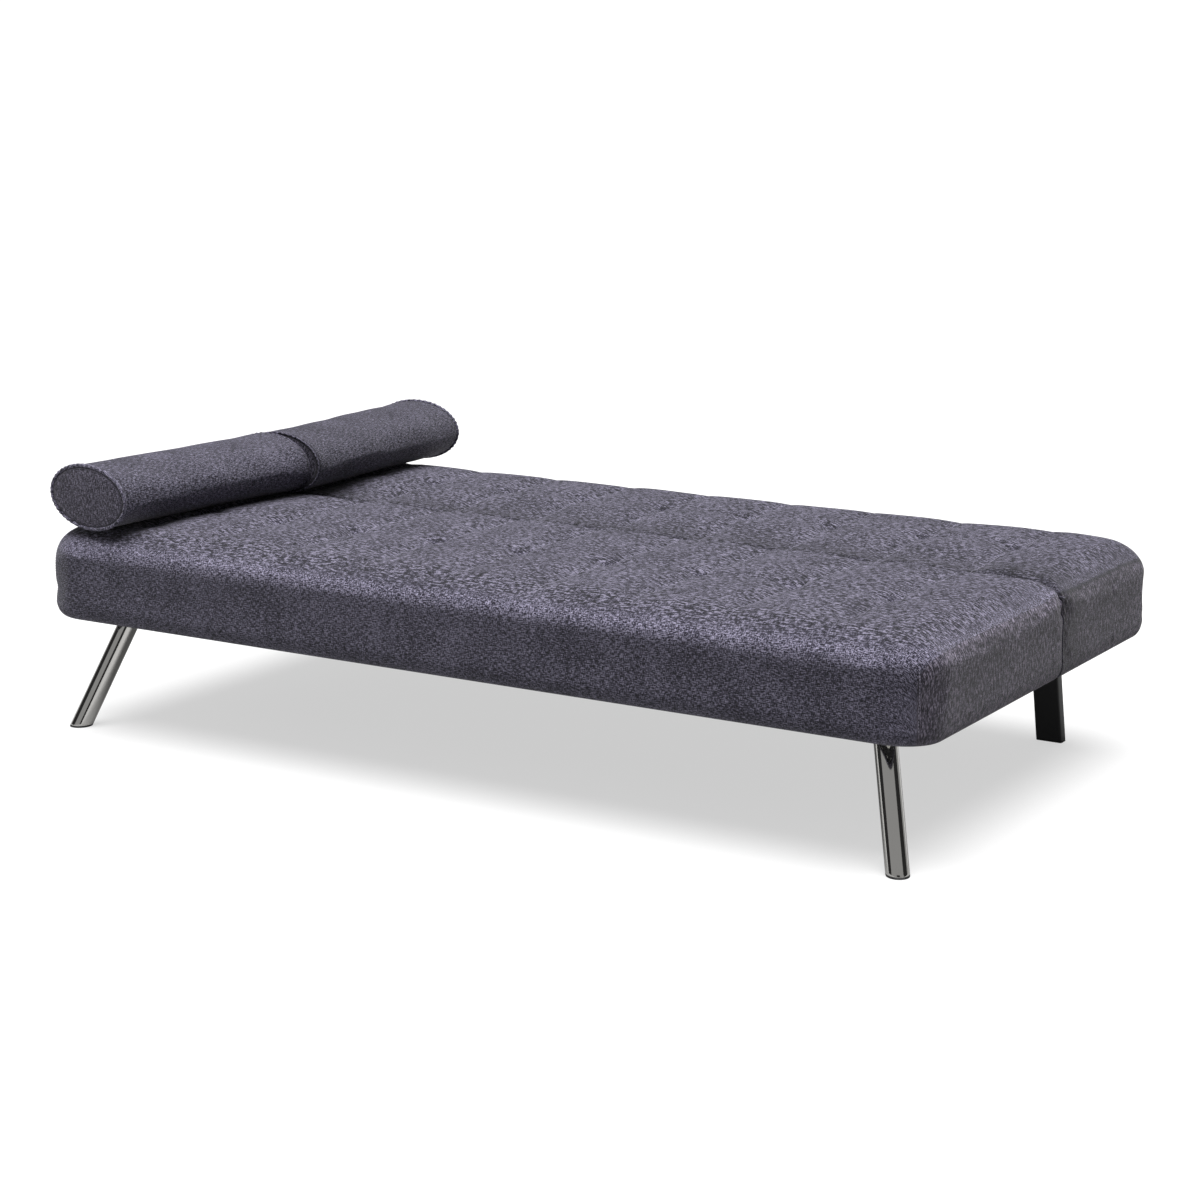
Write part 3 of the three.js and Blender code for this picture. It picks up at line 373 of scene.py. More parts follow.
# Runs a short cloth simulation on a copy and returns how far each point moved, capped.
def clothMoves(obj, pinned, look):
    copy = bpy.data.objects.new(obj.name + "Cloth", obj.data.copy())
    scene.collection.objects.link(copy)
    group = copy.vertex_groups.new(name="sewn")
    group.add([int(k) for k in np.flatnonzero(pinned)], 1.0, "REPLACE")
    cloth = copy.modifiers.new("cloth", "CLOTH")
    settings = cloth.settings
    settings.quality = 5
    settings.mass = 0.3
    settings.tension_stiffness = look["stretch"]
    settings.compression_stiffness = look["stretch"]
    settings.shear_stiffness = look["stretch"] / 3
    settings.bending_stiffness = look["bending"]
    settings.air_damping = 2
    settings.shrink_min = -look["spare"]
    settings.use_pressure = True
    settings.uniform_pressure_force = look["pressure"]
    settings.effector_weights.gravity = 0
    settings.vertex_group_mass = "sewn"
    cloth.collision_settings.use_collision = False
    cloth.point_cache.frame_start = 1
    cloth.point_cache.frame_end = look["frames"]
    start = pointsOf(obj)
    for at in range(1, look["frames"] + 1):
        scene.frame_set(at)
    graph = bpy.context.evaluated_depsgraph_get()
    evaluated = copy.evaluated_get(graph)
    now = np.zeros(len(evaluated.data.vertices) * 3)
    evaluated.data.vertices.foreach_get("co", now)
    moves = now.reshape(-1, 3) - start
    bpy.data.objects.remove(copy)
    scene.frame_set(1)
    far = np.linalg.norm(moves, axis=1)
    print(f"  cloth on {obj.name}: mean {far.mean() * 1000:.1f} mm, most {far.max() * 1000:.1f} mm")
    return moves * np.minimum(look["share"], look["cap"] / np.maximum(far, 1e-9))[:, None]


# The quilted covers of the seat and the backrest, whose valley edge sags more than the seat's
seatValley = {"valleyDip": 0.002, "valleySag": 0.002, "valleyShade": 0.0}
coverShape = {
    "crown": 0.388,
    "edgeRollWidth": 0.077,
    "edgeRollDrop": 0.047,
    "cornerRadius": 0.083,
    "valleyRoll": 0.036,
    "valleyDip": 0.004,
    "valleySag": 0.010,  # the further dip between the hinges
    "valleyRise": 0.150,
    "valleyShade": 1.9,
    "cornerFall": 0.008,
    "gatherLow": 0.312,
    "gatherHigh": 0.352,
    "cornerReach": 0.17,
    "bottomRound": 0.028,
    "valleyBottomRound": 0.012,
    "endBottomRound": 0.017,
    "sideDraw": 0.0015,
    "crownFall": 0.005,
    "crownReach": 0.17,
    "panels": 10,
    "seamDepth": 0.0075,
    "rowDepth": 0.003,
    "rowReach": 0.095,
    "tuftDepth": 0.010,
    "tuftReach": 0.038,
    "seamStart": 0.030,
    "seamFade": 0.120,
    "swellPower": 0.6,
    "creaseDepth": 0.0013,
    "puckerDepth": 0.0009,
    "gridStep": 0.0070,
    "endSeamAngle": 25.5,  # degrees round the end's roll, where the end panel is sewn on
    "pocketTop": 0.335,
    "padSide": 0.032,
    "pocketCorner": 0.051,
}
coverCloth = {"pressure": 2.2, "stretch": 18.0, "bending": 0.4, "spare": 0.008, "frames": 16, "cap": 0.0028,
              "share": 1.0}


def ease(t):
    s = np.clip(t, 0, 1)
    return s * s * (3 - 2 * s)


def quarterRoll(t):
    return 1 - np.sqrt(np.maximum(0, 1 - np.maximum(t, 0) ** 2))


# Smooth noise from a few fixed waves, about -1 to 1.
def softNoise(x, y, length, seed):
    random = np.random.default_rng(seed)
    total = np.zeros(np.broadcast(x, y).shape)
    for _ in range(9):
        angle, phase, scale = random.uniform(0, math.pi), random.uniform(0, 2 * math.pi), random.uniform(0.6, 1.7)
        total = total + np.sin((x * math.cos(angle) + y * math.sin(angle)) * 2 * math.pi * scale / length + phase)
    return total / 4.2


def valleySag(x, shape):
    return shape["valleySag"] * (1 - ease((np.abs(x) - 0.68) / 0.10))


def topHeight(x, y, half, depth, shape, seed):
    panelWidth = 2 * half / shape["panels"]
    innerHalf = half - panelWidth
    end = half - np.abs(x)
    valley = depth - y
    edge = np.minimum(end, y)
    endRoll = shape["edgeRollDrop"] * quarterRoll(1 - end / shape["edgeRollWidth"])
    outerRoll = shape["edgeRollDrop"] * quarterRoll(1 - y / shape["edgeRollWidth"])
    sag = valleySag(x, shape)
    radius = shape["valleyRoll"] - sag
    valleyRoll = radius * quarterRoll(1 - valley / radius) \
        + (shape["valleyDip"] + sag) * (1 - ease((valley - radius) / shape["valleyRise"]))
    column = np.clip(np.round((x + innerHalf) / panelWidth), 0, shape["panels"] - 2)
    away = x - (column * panelWidth - innerHalf)
    across, along = np.abs(away), np.abs(y - depth / 2)

    def swell(distance, reach):
        return 1 - np.sin(np.minimum(distance / reach, 1) * math.pi / 2) ** shape["swellPower"]

    fade = ease((edge - shape["seamStart"]) / shape["seamFade"]) * (0.55 + 0.45 * ease((valley - 0.02) / 0.11))
    seam = shape["seamDepth"] * swell(across, panelWidth / 2)
    row = shape["rowDepth"] * swell(along, shape["rowReach"])
    far = np.hypot(across, along)
    tuft = shape["tuftDepth"] * np.maximum(0, 1 - far / shape["tuftReach"]) ** 2
    fall = shape["crownFall"] * (1 - ease((edge - 0.03) / shape["crownReach"]))
    fall = fall + shape["cornerFall"] * ease(1 - np.hypot(end, y) / shape["cornerReach"])
    height = shape["crown"] - np.maximum(endRoll + outerRoll, valleyRoll) - fade * (seam + row + tuft) - fall

    # Folds that run out from each tuft, and small puckers beside the sewn lines
    turn = np.arctan2(y - depth / 2, away)
    twist = softNoise(column * 1.7, column * 0.9 + seed, 1.0, seed) * 0.5
    folds = np.cos(4 * turn + math.pi + twist) * np.exp(-((far - 0.026) / 0.020) ** 2)
    folds = folds + 0.3 * np.cos(7 * turn + 5 * twist) * np.exp(-((far - 0.036) / 0.018) ** 2)
    height = height + fade * shape["creaseDepth"] * folds
    pucker = np.sin(y * 2 * math.pi / 0.027 + 2.2 * softNoise(column * 3.1, y, 0.11, seed + 5) + column * 2.4)
    height = height + fade * shape["puckerDepth"] * pucker * np.exp(-across / 0.016) * (0.6 + 0.4 * softNoise(x, y, 0.2, seed + 8)) * ease(valley / 0.06)
    # The slight creases at the outer ends of the sewn lines
    start = 0.062
    creaseLine = np.exp(-((y - start - 0.25 * across) / 0.007) ** 2) * np.exp(-((across - 0.010) / 0.014) ** 2)
    height = height - 0.0013 * creaseLine * ease(end / 0.12)
    return height + 0.0011 * softNoise(x, y, 0.21, seed + 11) * ease(edge / 0.05) * ease(valley / 0.04)


def clusterLines(start, stop, step, marks, nearSteps=(0.0016, 0.0042)):
    fixed = sorted({start, stop, *[m for m in marks if start <= m <= stop]})
    lines = []
    for low, high in zip(fixed[:-1], fixed[1:]):
        first = low + max(nearSteps) if low in marks else low
        last = high - max(nearSteps) if high in marks else high
        lines.append(low)
        if low in marks:
            lines.extend(low + s for s in nearSteps[:-1])
        count = max(1, round((last - first) / step))
        inner = np.linspace(first, last, count + 1)
        lines.extend(inner if low in marks else inner[1:])
        if high in marks:
            lines.extend(high - s for s in nearSteps[-2::-1])
        elif lines[-1] >= high - 1e-9:
            lines.pop()
    lines.append(fixed[-1])
    return np.array(sorted(set(np.round(lines, 7))))


def coverLines(half, depth, shape):
    step = shape["gridStep"]
    width = shape["edgeRollWidth"]
    seamAngle = shape["endSeamAngle"]
    angles = np.radians([0, 6, 12, 18, 22.5, seamAngle, 28.5, 33, 39, 45, 51.5, 58, 64.5, 71, 77, 83.5, 90])
    rollLines = width * (1 - np.cos(angles))
    panelWidth = 2 * half / shape["panels"]
    seams = [round(k * panelWidth, 7) for k in range(-(shape["panels"] // 2 - 1), shape["panels"] // 2)]
    middle = clusterLines(-half + width, half - width, step, seams)
    xs = np.concatenate([-half + rollLines[:-1], middle, (half - rollLines[:-1])[::-1]])
    flat = clusterLines(width, depth - shape["valleyRoll"], step, [round(depth / 2, 7)])
    valleyAngles = np.radians(np.linspace(90, 0, 10))
    ys = np.concatenate([rollLines[:-1], flat, depth - shape["valleyRoll"] * (1 - np.cos(valleyAngles[1:]))])
    return xs, ys


def arcLength(points):
    return np.concatenate([[0], np.cumsum(np.linalg.norm(np.diff(points, axis=0), axis=1))])


# One half's upholstery. It is built with its outer face at y = 0 and its valley at y = depth.
def buildCover(name, nodeName, turned, seed, shape, cloth):
    low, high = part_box(nodeName)
    half = (high.x - low.x) / 2
    depth = high.y - low.y
    underside = low.z
    xs, ys = coverLines(half, depth, shape)
    columns, rows = len(xs), len(ys)
    x, y = np.meshgrid(xs, ys)
    z = topHeight(x, y, half, depth, shape, seed)
    radius = shape["cornerRadius"]
    p = (np.abs(x) - (half - radius)) / radius
    q = (radius - y) / radius
    atCorner = (p > 0) & (q > 0)
    pc, qc = np.clip(p, 0, 1), np.clip(q, 0, 1)
    acrossOut, frontOut = pc * np.sqrt(1 - qc ** 2 / 2), qc * np.sqrt(1 - pc ** 2 / 2)
    sign = np.sign(x)
    px = np.where(atCorner, sign * (half - radius + radius * acrossOut), x)
    py = np.where(atCorner, radius - radius * frontOut, y)
    points = np.stack([px, py, z], axis=-1).reshape(-1, 3)

    nearEnd = np.clip(1 - (half - np.abs(x)) / shape["edgeRollWidth"], 0, None)
    nearValley = np.clip(1 - (depth - y) / shape["valleyRoll"], 0, None)
    outward = np.stack([sign * nearEnd, np.zeros_like(x), nearValley], axis=-1)
    outward[0, :, 0] = 0
    outward[0, :, 1] = -1
    long = np.maximum(np.hypot(acrossOut, frontOut), 1e-9)
    cornerOut = np.stack([sign * acrossOut / long, -frontOut / long, np.zeros_like(x)], axis=-1)
    outward = np.where(atCorner[..., None], cornerOut, outward).reshape(-1, 3)

    rim = np.concatenate([np.arange(columns), np.arange(1, rows) * columns + columns - 1,
                          (rows - 1) * columns + np.arange(columns - 2, -1, -1),
                          np.arange(rows - 2, 0, -1) * columns])
    grid = np.arange(rows * columns).reshape(rows, columns)
    faces = np.stack([grid[:-1, :-1], grid[:-1, 1:], grid[1:, 1:], grid[1:, :-1]], axis=-1).reshape(-1, 4)
    # The end panels lie beyond the end seam, and round the corner up to the mitre with the front
    seamAt = half - shape["edgeRollWidth"] * (1 - math.cos(math.radians(shape["endSeamAngle"])))
    xMiddle = ((x[:-1, :-1] + x[1:, 1:]) / 2)
    yMiddle = ((y[:-1, :-1] + y[1:, 1:]) / 2)
    isEnd = (np.abs(xMiddle) > seamAt) & (half - np.abs(xMiddle) <= yMiddle + 1e-9)
    faceIsEnd = [isEnd.reshape(-1)]

    # The sides below the rim
    rimPoints, rimOut = points[rim], outward[rim]
    drop = shape["crown"] - shape["edgeRollDrop"] - underside - shape["bottomRound"]
    sideRows = max(8, round(drop / shape["gridStep"]))
    levels = []
    for k in range(1, sideRows + 1):
        draw = shape["sideDraw"] * math.sin(math.pi * k / sideRows)
        levels.append((1 - k / sideRows, None, (draw, draw, 0)))
    for k in range(1, 7):
        down, inward = (1 - math.sin(k / 6 * math.pi / 2)), (1 - math.cos(k / 6 * math.pi / 2))
        levels.append((None, shape["bottomRound"] * down,
                       [shape[key] * inward for key in ("endBottomRound", "bottomRound", "valleyBottomRound")]))
    ringStart = [rim]
    total = len(points)
    allPoints = [points]
    sideBottom = underside + shape["bottomRound"]
    for share, rise, (endInset, frontInset, valleyInset) in levels:
        ring = rimPoints.copy()
        ring[:, 0] -= rimOut[:, 0] * endInset
        ring[:, 1] -= rimOut[:, 1] * frontInset + rimOut[:, 2] * valleyInset
        if share is not None:
            ring[:, 2] = sideBottom + (rimPoints[:, 2] - sideBottom) * share
        else:
            ring[:, 2] = underside + rise
        allPoints.append(ring)
        ringStart.append(total + np.arange(len(rim)))
        total += len(rim)
    rightCorner, leftCorner = columns - 1, 0  # the rim's places under the two mitres
    rightEnd = columns - 1 + rows - 1
    leftStart = rightEnd + columns - 1
    rimIndex = np.arange(len(rim))
    ringIsEnd = ((rimIndex >= rightCorner) & (rimIndex < rightEnd)) | (rimIndex >= leftStart)
    for upper, lower in zip(ringStart[:-1], ringStart[1:]):
        faces = np.concatenate([faces, np.stack([upper, lower, np.roll(lower, -1), np.roll(upper, -1)], axis=-1)])
        faceIsEnd.append(ringIsEnd)
    points = np.concatenate(allPoints)
    faceIsEnd = np.concatenate(faceIsEnd)
    # The gathered folds where the valley comes out at each end
    fromValley, level = depth - points[:, 1], points[:, 2]
    window = ease((level - shape["gatherLow"]) / 0.016) * (1 - ease((level - shape["gatherHigh"]) / 0.014))
    gathered = window * np.exp(-(fromValley / 0.017) ** 2) * ease((np.abs(points[:, 0]) - half + 0.05) / 0.03)
    ripple = 0.5 + 0.5 * np.cos(2 * math.pi * (fromValley / 0.0105 + (level - 0.33) / 0.030))
    points[:, 0] -= np.sign(points[:, 0]) * gathered * (0.0015 + 0.0070 * ripple)

    # How each point lies in the cloth: along the bed and over the top, or down and round an end
    spanX = arcLength(np.stack([xs, topHeight(xs, np.full_like(xs, depth * 0.3), half, depth, shape, seed)], axis=-1))
    spanY = arcLength(np.stack([ys, topHeight(np.full_like(ys, 0.09), ys, half, depth, shape, seed)], axis=-1))
    gridU, gridV = np.meshgrid(spanX, spanY)
    mainPlace = [np.stack([gridU, gridV + drop + 0.045], axis=-1).reshape(-1, 2)]
    endFromRim = np.minimum(gridU, gridU.max() - gridU)
    endPlace = [np.stack([endFromRim + drop + 0.045, gridV + 0.3], axis=-1).reshape(-1, 2)]
    rimAround = np.linalg.norm(np.roll(rimPoints, -1, axis=0) - rimPoints, axis=1).cumsum()
    downLength = np.zeros(len(rim))
    previous = rimPoints
    for ring in allPoints[1:]:
        downLength = downLength + np.linalg.norm(ring - previous, axis=1)
        previous = ring
        rimMain = mainPlace[0][rim].copy()
        atValley = (rimIndex >= rightEnd) & (rimIndex <= leftStart)
        rimMain[:, 1] += np.where(atValley, downLength, -downLength)
        mainPlace.append(rimMain)
        rimEnd = endPlace[0][rim].copy()
        rimEnd[:, 0] -= downLength
        endPlace.append(rimEnd)
    mainPlace, endPlace = np.concatenate(mainPlace), np.concatenate(endPlace)

    # Distance to the seam between top and end panel, and down the corner's mitre
    gridEnd = np.abs(half - np.abs(x) - (half - seamAt))
    mitre = np.abs((half - np.abs(x)) - y) * 0.75
    beyond = (half - np.abs(x) < half - seamAt) & (y < half - seamAt + 0.004)
    seamAway = np.where(y < half - seamAt, np.where(beyond, mitre, 1.0), np.minimum(gridEnd, 1.0))
    seamAway = np.where((y < half - seamAt + 0.0005) & ~beyond, 1.0, seamAway)
    around = np.concatenate([[0], rimAround[:-1]])
    fromMitre = np.minimum(np.abs(around - around[rightCorner]),
                           np.minimum(around, rimAround[-1] - around))
    seamAway = np.concatenate([seamAway.reshape(-1)] + [fromMitre] * (len(allPoints) - 1))

    obj = meshObject(name, points, [tuple(int(k) for k in f) for f in faces])
    layer = obj.data.uv_layers.new(name="weave")
    loops = np.zeros(len(obj.data.loops), np.int64)
    obj.data.loops.foreach_get("vertex_index", loops)
    loopIsEnd = np.repeat(faceIsEnd, 4)
    uv = np.where(loopIsEnd[:, None], endPlace[loops], mainPlace[loops])
    layer.data.foreach_set("uv", uv.astype(np.float32).ravel())
    # End faces carry the end panels' warmer tint and painted shade
    endTintShade = obj.data.attributes.new("endPanelTintAndShade", "FLOAT", "FACE")
    endTintShade.data.foreach_set("value", faceIsEnd.astype(np.float32))
    pointAttribute(obj, "seamAway", seamAway)
    # Where the pulled threads of the quilting lines catch the light
    panelWidth = 2 * half / shape["panels"]
    innerHalf = half - panelWidth
    nearest = np.clip(np.round((x + innerHalf) / panelWidth), 0, shape["panels"] - 2) * panelWidth - innerHalf
    along = ease((y - 0.052) / 0.02) * ease((depth - 0.012 - y) / 0.02)
    quiltLine = np.exp(-(np.abs(x - nearest) / 0.0022) ** 2) * along
    quiltLine = np.concatenate([quiltLine.reshape(-1), np.zeros(len(points) - rows * columns)])
    mitreLine = np.concatenate([np.zeros(rows * columns)] + [np.exp(-(fromMitre / 0.0030) ** 2)] * (len(allPoints) - 1))
    # Painted shade: the tone is lowered on the slope down to the valley
    valleyShade = shape["valleyShade"] * np.exp(-((depth - points[:, 1]) / 0.080) ** 2)
    pointAttribute(obj, "quiltLine", np.maximum(quiltLine, mitreLine) - valleyShade)
    print(f"{name}: {len(points)} points before its simulation")

    # Sewn lines, tufts, the hinge slots' surroundings and the underside hold still in the cloth
    flatX, flatY = np.concatenate([x.reshape(-1), points[rows * columns:, 0]]), np.concatenate(
        [y.reshape(-1), points[rows * columns:, 1]])
    column = np.clip(np.round((flatX + innerHalf) / panelWidth), 0, shape["panels"] - 2)
    onSeam = np.abs(flatX - (column * panelWidth - innerHalf)) < 0.0004
    onTop = np.arange(len(points)) < rows * columns
    pinned = onSeam & onTop & (flatY > 0.058)
    pinned |= points[:, 2] < sideBottom - 0.002
    slotNear = (np.abs(np.abs(flatX) - 0.839) < 0.022) & (flatY > depth - 0.020)
    pinned |= slotNear
    pinned |= (np.abs(flatX) > half - 0.004) & (flatY > depth - 0.004)
    moves = clothMoves(obj, pinned, cloth)
    setPoints(obj, points + moves)

    # One subdivision, a flat underside, then the frame's pocket and the hinge slots are cut out of it
    obj.modifiers.new("smooth", "SUBSURF").levels = 1
    obj.modifiers["smooth"].render_levels = 1
    applied(obj)
    work = bmesh.new()
    work.from_mesh(obj.data)
    hub = work.verts.new((0, depth / 2, underside))
    for edge in [e for e in work.edges if e.is_boundary]:
        loop = edge.link_loops[0]
        work.faces.new((loop.link_loop_next.vert, loop.vert, hub))
    work.to_mesh(obj.data)
    work.free()

    cutters = [pocketSolid(half, depth, underside, shape)]
    for side in (-1, 1):
        cutters.append(slotSolid(side, depth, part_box("hinge_pin_right")))
    for cutter in cutters:
        cut = obj.modifiers.new("cut", "BOOLEAN")
        cut.operation = "DIFFERENCE"
        cut.solver = "MANIFOLD"
        cut.object = cutter
        applied(obj)
        bpy.data.objects.remove(cutter)
    place = Matrix.Translation((0, low.y, 0))
    if turned:
        place = Matrix.Translation((0, high.y, 0)) @ Matrix.Rotation(math.pi, 4, "Z")
    obj.data.transform(place)
    obj.data.materials.clear()
    obj.data.materials.append(backFabric if turned else seatFabric)
    smoothShade(obj, 50)
    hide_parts(nodeName)
    print(f"{name}: {len(obj.data.polygons)} faces")
    return obj


def prismObject(name, outline, z0, z1):
    count = len(outline)
    verts = [(px, py, z0) for px, py in outline] + [(px, py, z1) for px, py in outline]
    faces = [tuple(range(count - 1, -1, -1)), tuple(range(count, 2 * count))]
    faces += [(k, (k + 1) % count, count + (k + 1) % count, count + k) for k in range(count)]
    return meshObject(name, verts, faces)


def pocketSolid(half, depth, underside, shape):
    side, radius = shape["padSide"], shape["pocketCorner"]
    outline = []
    for centre, start in ((half - side - radius, -90), (-(half - side - radius), 180)):
        for k in range(9):
            angle = math.radians(start + k * 90 / 8)
            outline.append((centre + radius * math.cos(angle), side + radius + radius * math.sin(angle)))
        if start == -90:
            outline += [(half - side, depth - side), (-half + side, depth - side)]
    return prismObject("pocket", outline, underside - 0.01, shape["pocketTop"])


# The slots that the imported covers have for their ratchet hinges, lower where the valley hides them
def slotSolid(side, depth, pinBox):
    pivotHeight = (pinBox[0].z + pinBox[1].z) / 2
    bottom, top, mouthTop = pivotHeight - 0.043, pivotHeight + 0.0155, pivotHeight + 0.0102
    outline = [(depth - 0.060, bottom), (depth + 0.01, bottom), (depth + 0.01, mouthTop), (depth - 0.017, mouthTop),
               (depth - 0.021, top), (depth - 0.060, top)]  # seen from the side
    inner, outer = 0.8266, 0.8493
    slot = prismObject("slot", outline, inner, outer)
    setPoints(slot, pointsOf(slot)[:, [2, 0, 1]] * np.array([side, 1, 1]))
    if side < 0:
        slot.data.flip_normals()
    return slot


seatCover = buildCover("seatUpholstery", "seat_cover", False, 3, dict(coverShape, **seatValley), coverCloth)
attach(seatCover, "seat")
backCover = buildCover("backUpholstery", "back_cover", True, 8, coverShape, coverCloth)
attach(backCover, "backrest")

# The bolsters: oval pillows, each with a domed and piped panel at its two ends
bolsterShape = {
    "frontSection": (0.194, 0.117, -0.041),  # width, thickness, tilt
    "rearSection": (0.204, 0.121, 0.0),
    "frontEnds": ((-0.782, 0.013), (-0.746, 0.5034)),  # middle line in plan, from the bed's front
    "rearEnds": ((-0.730, 0.5040), (-0.759, 1.018)),
    "freeDome": 0.0075,
    "meetingDome": 0.0015,
    "rollLength": 0.024,
    "meetingRoll": 0.009,
    "rimShare": 0.972,
    "pipeRadius": 0.0036,
    "meetingPipe": 0.0015,
    "puckers": 46,
    "puckerDepth": 0.0007,
    "around": 96,
    "ringStep": 0.0085,
}
bolsterCloth = {"pressure": 2.6, "stretch": 15.0, "bending": 0.5, "spare": 0.010, "frames": 14, "cap": 0.0015,
                "share": 0.12}
bolsterFabric = fabricMaterial("bolsterFabric", tone=0.97, seamShade=0.85, openTop=0.3)
# The rear bolster is the same cloth at a lower tone: painted shade
rearBolsterShadedFabric = fabricMaterial("rearBolsterShadedFabric", tone=0.82, seamShade=0.85, openTop=0.3)
# The piping is the same cloth painted half as light again: a painted highlight on the rounded cord
pipingHighlightFabric = fabricMaterial("pipingHighlightFabric", tone=1.5, usesAttributes=False)


def ovalSection(angle, width, thickness, lens=0.985):
    across, up = np.cos(angle), np.sin(angle)
    return (width / 2 * np.sign(across) * np.abs(across) ** lens,
            thickness / 2 * np.sign(up) * np.abs(up) ** (2 - lens))


def ringTube(centres, normals, radius, sides=8):
    # A closed tube round a closed path; its own frame follows the path and the given normals
    ahead = np.roll(centres, -1, axis=0) - np.roll(centres, 1, axis=0)
    ahead /= np.linalg.norm(ahead, axis=1)[:, None]
    side = np.cross(ahead, normals)
    verts, faces, count = [], [], len(centres)
    for k in range(sides):
        angle = 2 * math.pi * k / sides
        verts.append(centres + radius * (math.cos(angle) * normals + math.sin(angle) * side))
    for k in range(sides):
        after = (k + 1) % sides
        for j in range(count):
            ahead = (j + 1) % count
            faces.append((k * count + j, k * count + ahead, after * count + ahead, after * count + j))
    return np.concatenate(verts), faces


def buildBolster(name, nodeName, body, section, ends, meetingEnd, seed, shape, cloth, fabric):
    low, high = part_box(nodeName)
    width, thickness, tilt = section
    (x0, y0), (x1, y1) = ends
    forward = math.hypot(x1 - x0, y1 - y0)
    length = forward - 0.002
    around = shape["around"]
    angles = np.linspace(0, 2 * math.pi, around, endpoint=False)
    # Stations from one rim to the other, closer together over the rolls
    domes = [shape["meetingDome"] if k == meetingEnd else shape["freeDome"] for k in (0, 1)]
    rolls = [shape["meetingRoll"] if k == meetingEnd else shape["rollLength"] for k in (0, 1)]
    rimAt = [0.72 * dome for dome in domes]
    rollSteps = 1 - np.cos(np.radians([0, 14, 27, 41, 55, 70, 90]))
    first, last = rimAt[0], length - rimAt[1]
    count = round((last - first - sum(rolls)) / shape["ringStep"])
    middle = np.linspace(first + rolls[0], last - rolls[1], count + 1)[1:-1]
    stations = np.concatenate([first + rolls[0] * rollSteps, middle, last - rolls[1] * rollSteps[::-1]])
    fromRim = np.minimum(stations - first, last - stations)
    within = np.minimum((stations - first) / rolls[0], (last - stations) / rolls[1])
    size = shape["rimShare"] + (1 - shape["rimShare"]) * np.sqrt(
        np.clip(1 - (1 - np.clip(within, 0, 1)) ** 2, 0, 1))
    rings, uvs, seamAway = [], [], []
    crossX, crossZ = ovalSection(angles, width, thickness)
    girth = np.concatenate([[0], np.cumsum(np.hypot(np.diff(crossX), np.diff(crossZ)))])
    for at, share, near in zip(stations, size, fromRim):
        gather = shape["puckerDepth"] * math.exp(-near / 0.017) * np.sin(
            shape["puckers"] * angles + 1.6 * softNoise(angles * 0.5, angles * 0 + (at > length / 2), 1.0, seed))
        creases = 0.0005 * softNoise(angles * 0.10, np.full(around, at), 0.16, seed + 3)
        slack = 0.0005 * softNoise(angles * 0.07 + at * 0.3, np.full(around, at * 0.6), 0.11, seed + 5)
        grow = share + (gather + (creases + slack) * ease(near / 0.03)) / (thickness / 2)
        rings.append(np.stack([crossX * grow, np.full(around, at), crossZ * grow], axis=-1))
        uvs.append(np.stack([np.full(around, at), girth], axis=-1))
        seamAway.append(np.full(around, near * 0.45))
    body0 = len(stations)
    # The end panels: rings from the rim inwards over the dome
    panelShares = (0.985, 0.93, 0.84, 0.70, 0.54, 0.38, 0.22, 0.09)
    panels = []
    for atEnd in (0, 1):
        start = len(rings)
        for share in panelShares:
            rise = 0.72 * domes[atEnd] - domes[atEnd] * math.sqrt(1 - min(share, 0.999) ** 2.6)
            wrinkle = 0.0010 * np.sin(shape["puckers"] * 0.5 * angles + 2) * math.exp(-(1 - share) / 0.10)
            depth = np.full(around, rise) + wrinkle
            at = depth if atEnd == 0 else length - depth
            inner = shape["rimShare"] * share * 0.985
            rings.append(np.stack([crossX * inner, at, crossZ * inner], axis=-1))
            uvs.append(np.stack([crossZ * inner + 2.0 + atEnd, crossX * inner], axis=-1))
            seamAway.append(np.full(around, (1 - share) * thickness * 0.4))
        panels.append(start)
    points = np.concatenate(rings)
    hubs = []
    for atEnd, start in enumerate(panels):
        last = rings[start + len(panelShares) - 1]
        hubs.append(len(points))
        centre = last.mean(axis=0)
        centre[1] += (-1 if atEnd == 0 else 1) * 0.0002
        points = np.concatenate([points, centre[None]])
        uvs.append(np.array([[2.0 + atEnd, 0.0]]))
        seamAway.append(np.array([0.05]))
    faces, isPanel = [], []

    def stitchRings(lower, upper, flip, panel):
        for k in range(around):
            ahead = (k + 1) % around
            quad = (lower * around + k, lower * around + ahead, upper * around + ahead, upper * around + k)
            faces.append(quad[::-1] if flip else quad)
            isPanel.append(panel)

    for ring in range(body0 - 1):
        stitchRings(ring, ring + 1, False, 0)
    for atEnd, start in enumerate(panels):
        outer = 0 if atEnd == 0 else body0 - 1
        flip = atEnd == 0
        stitchRings(outer, start, flip, 1)
        for ring in range(start, start + len(panelShares) - 1):
            stitchRings(ring, ring + 1, flip, 1)
        last = start + len(panelShares) - 1
        for k in range(around):
            ahead = (k + 1) % around
            tri = (last * around + k, last * around + ahead, hubs[atEnd])
            faces.append(tri[::-1] if flip else tri)
            isPanel.append(1)
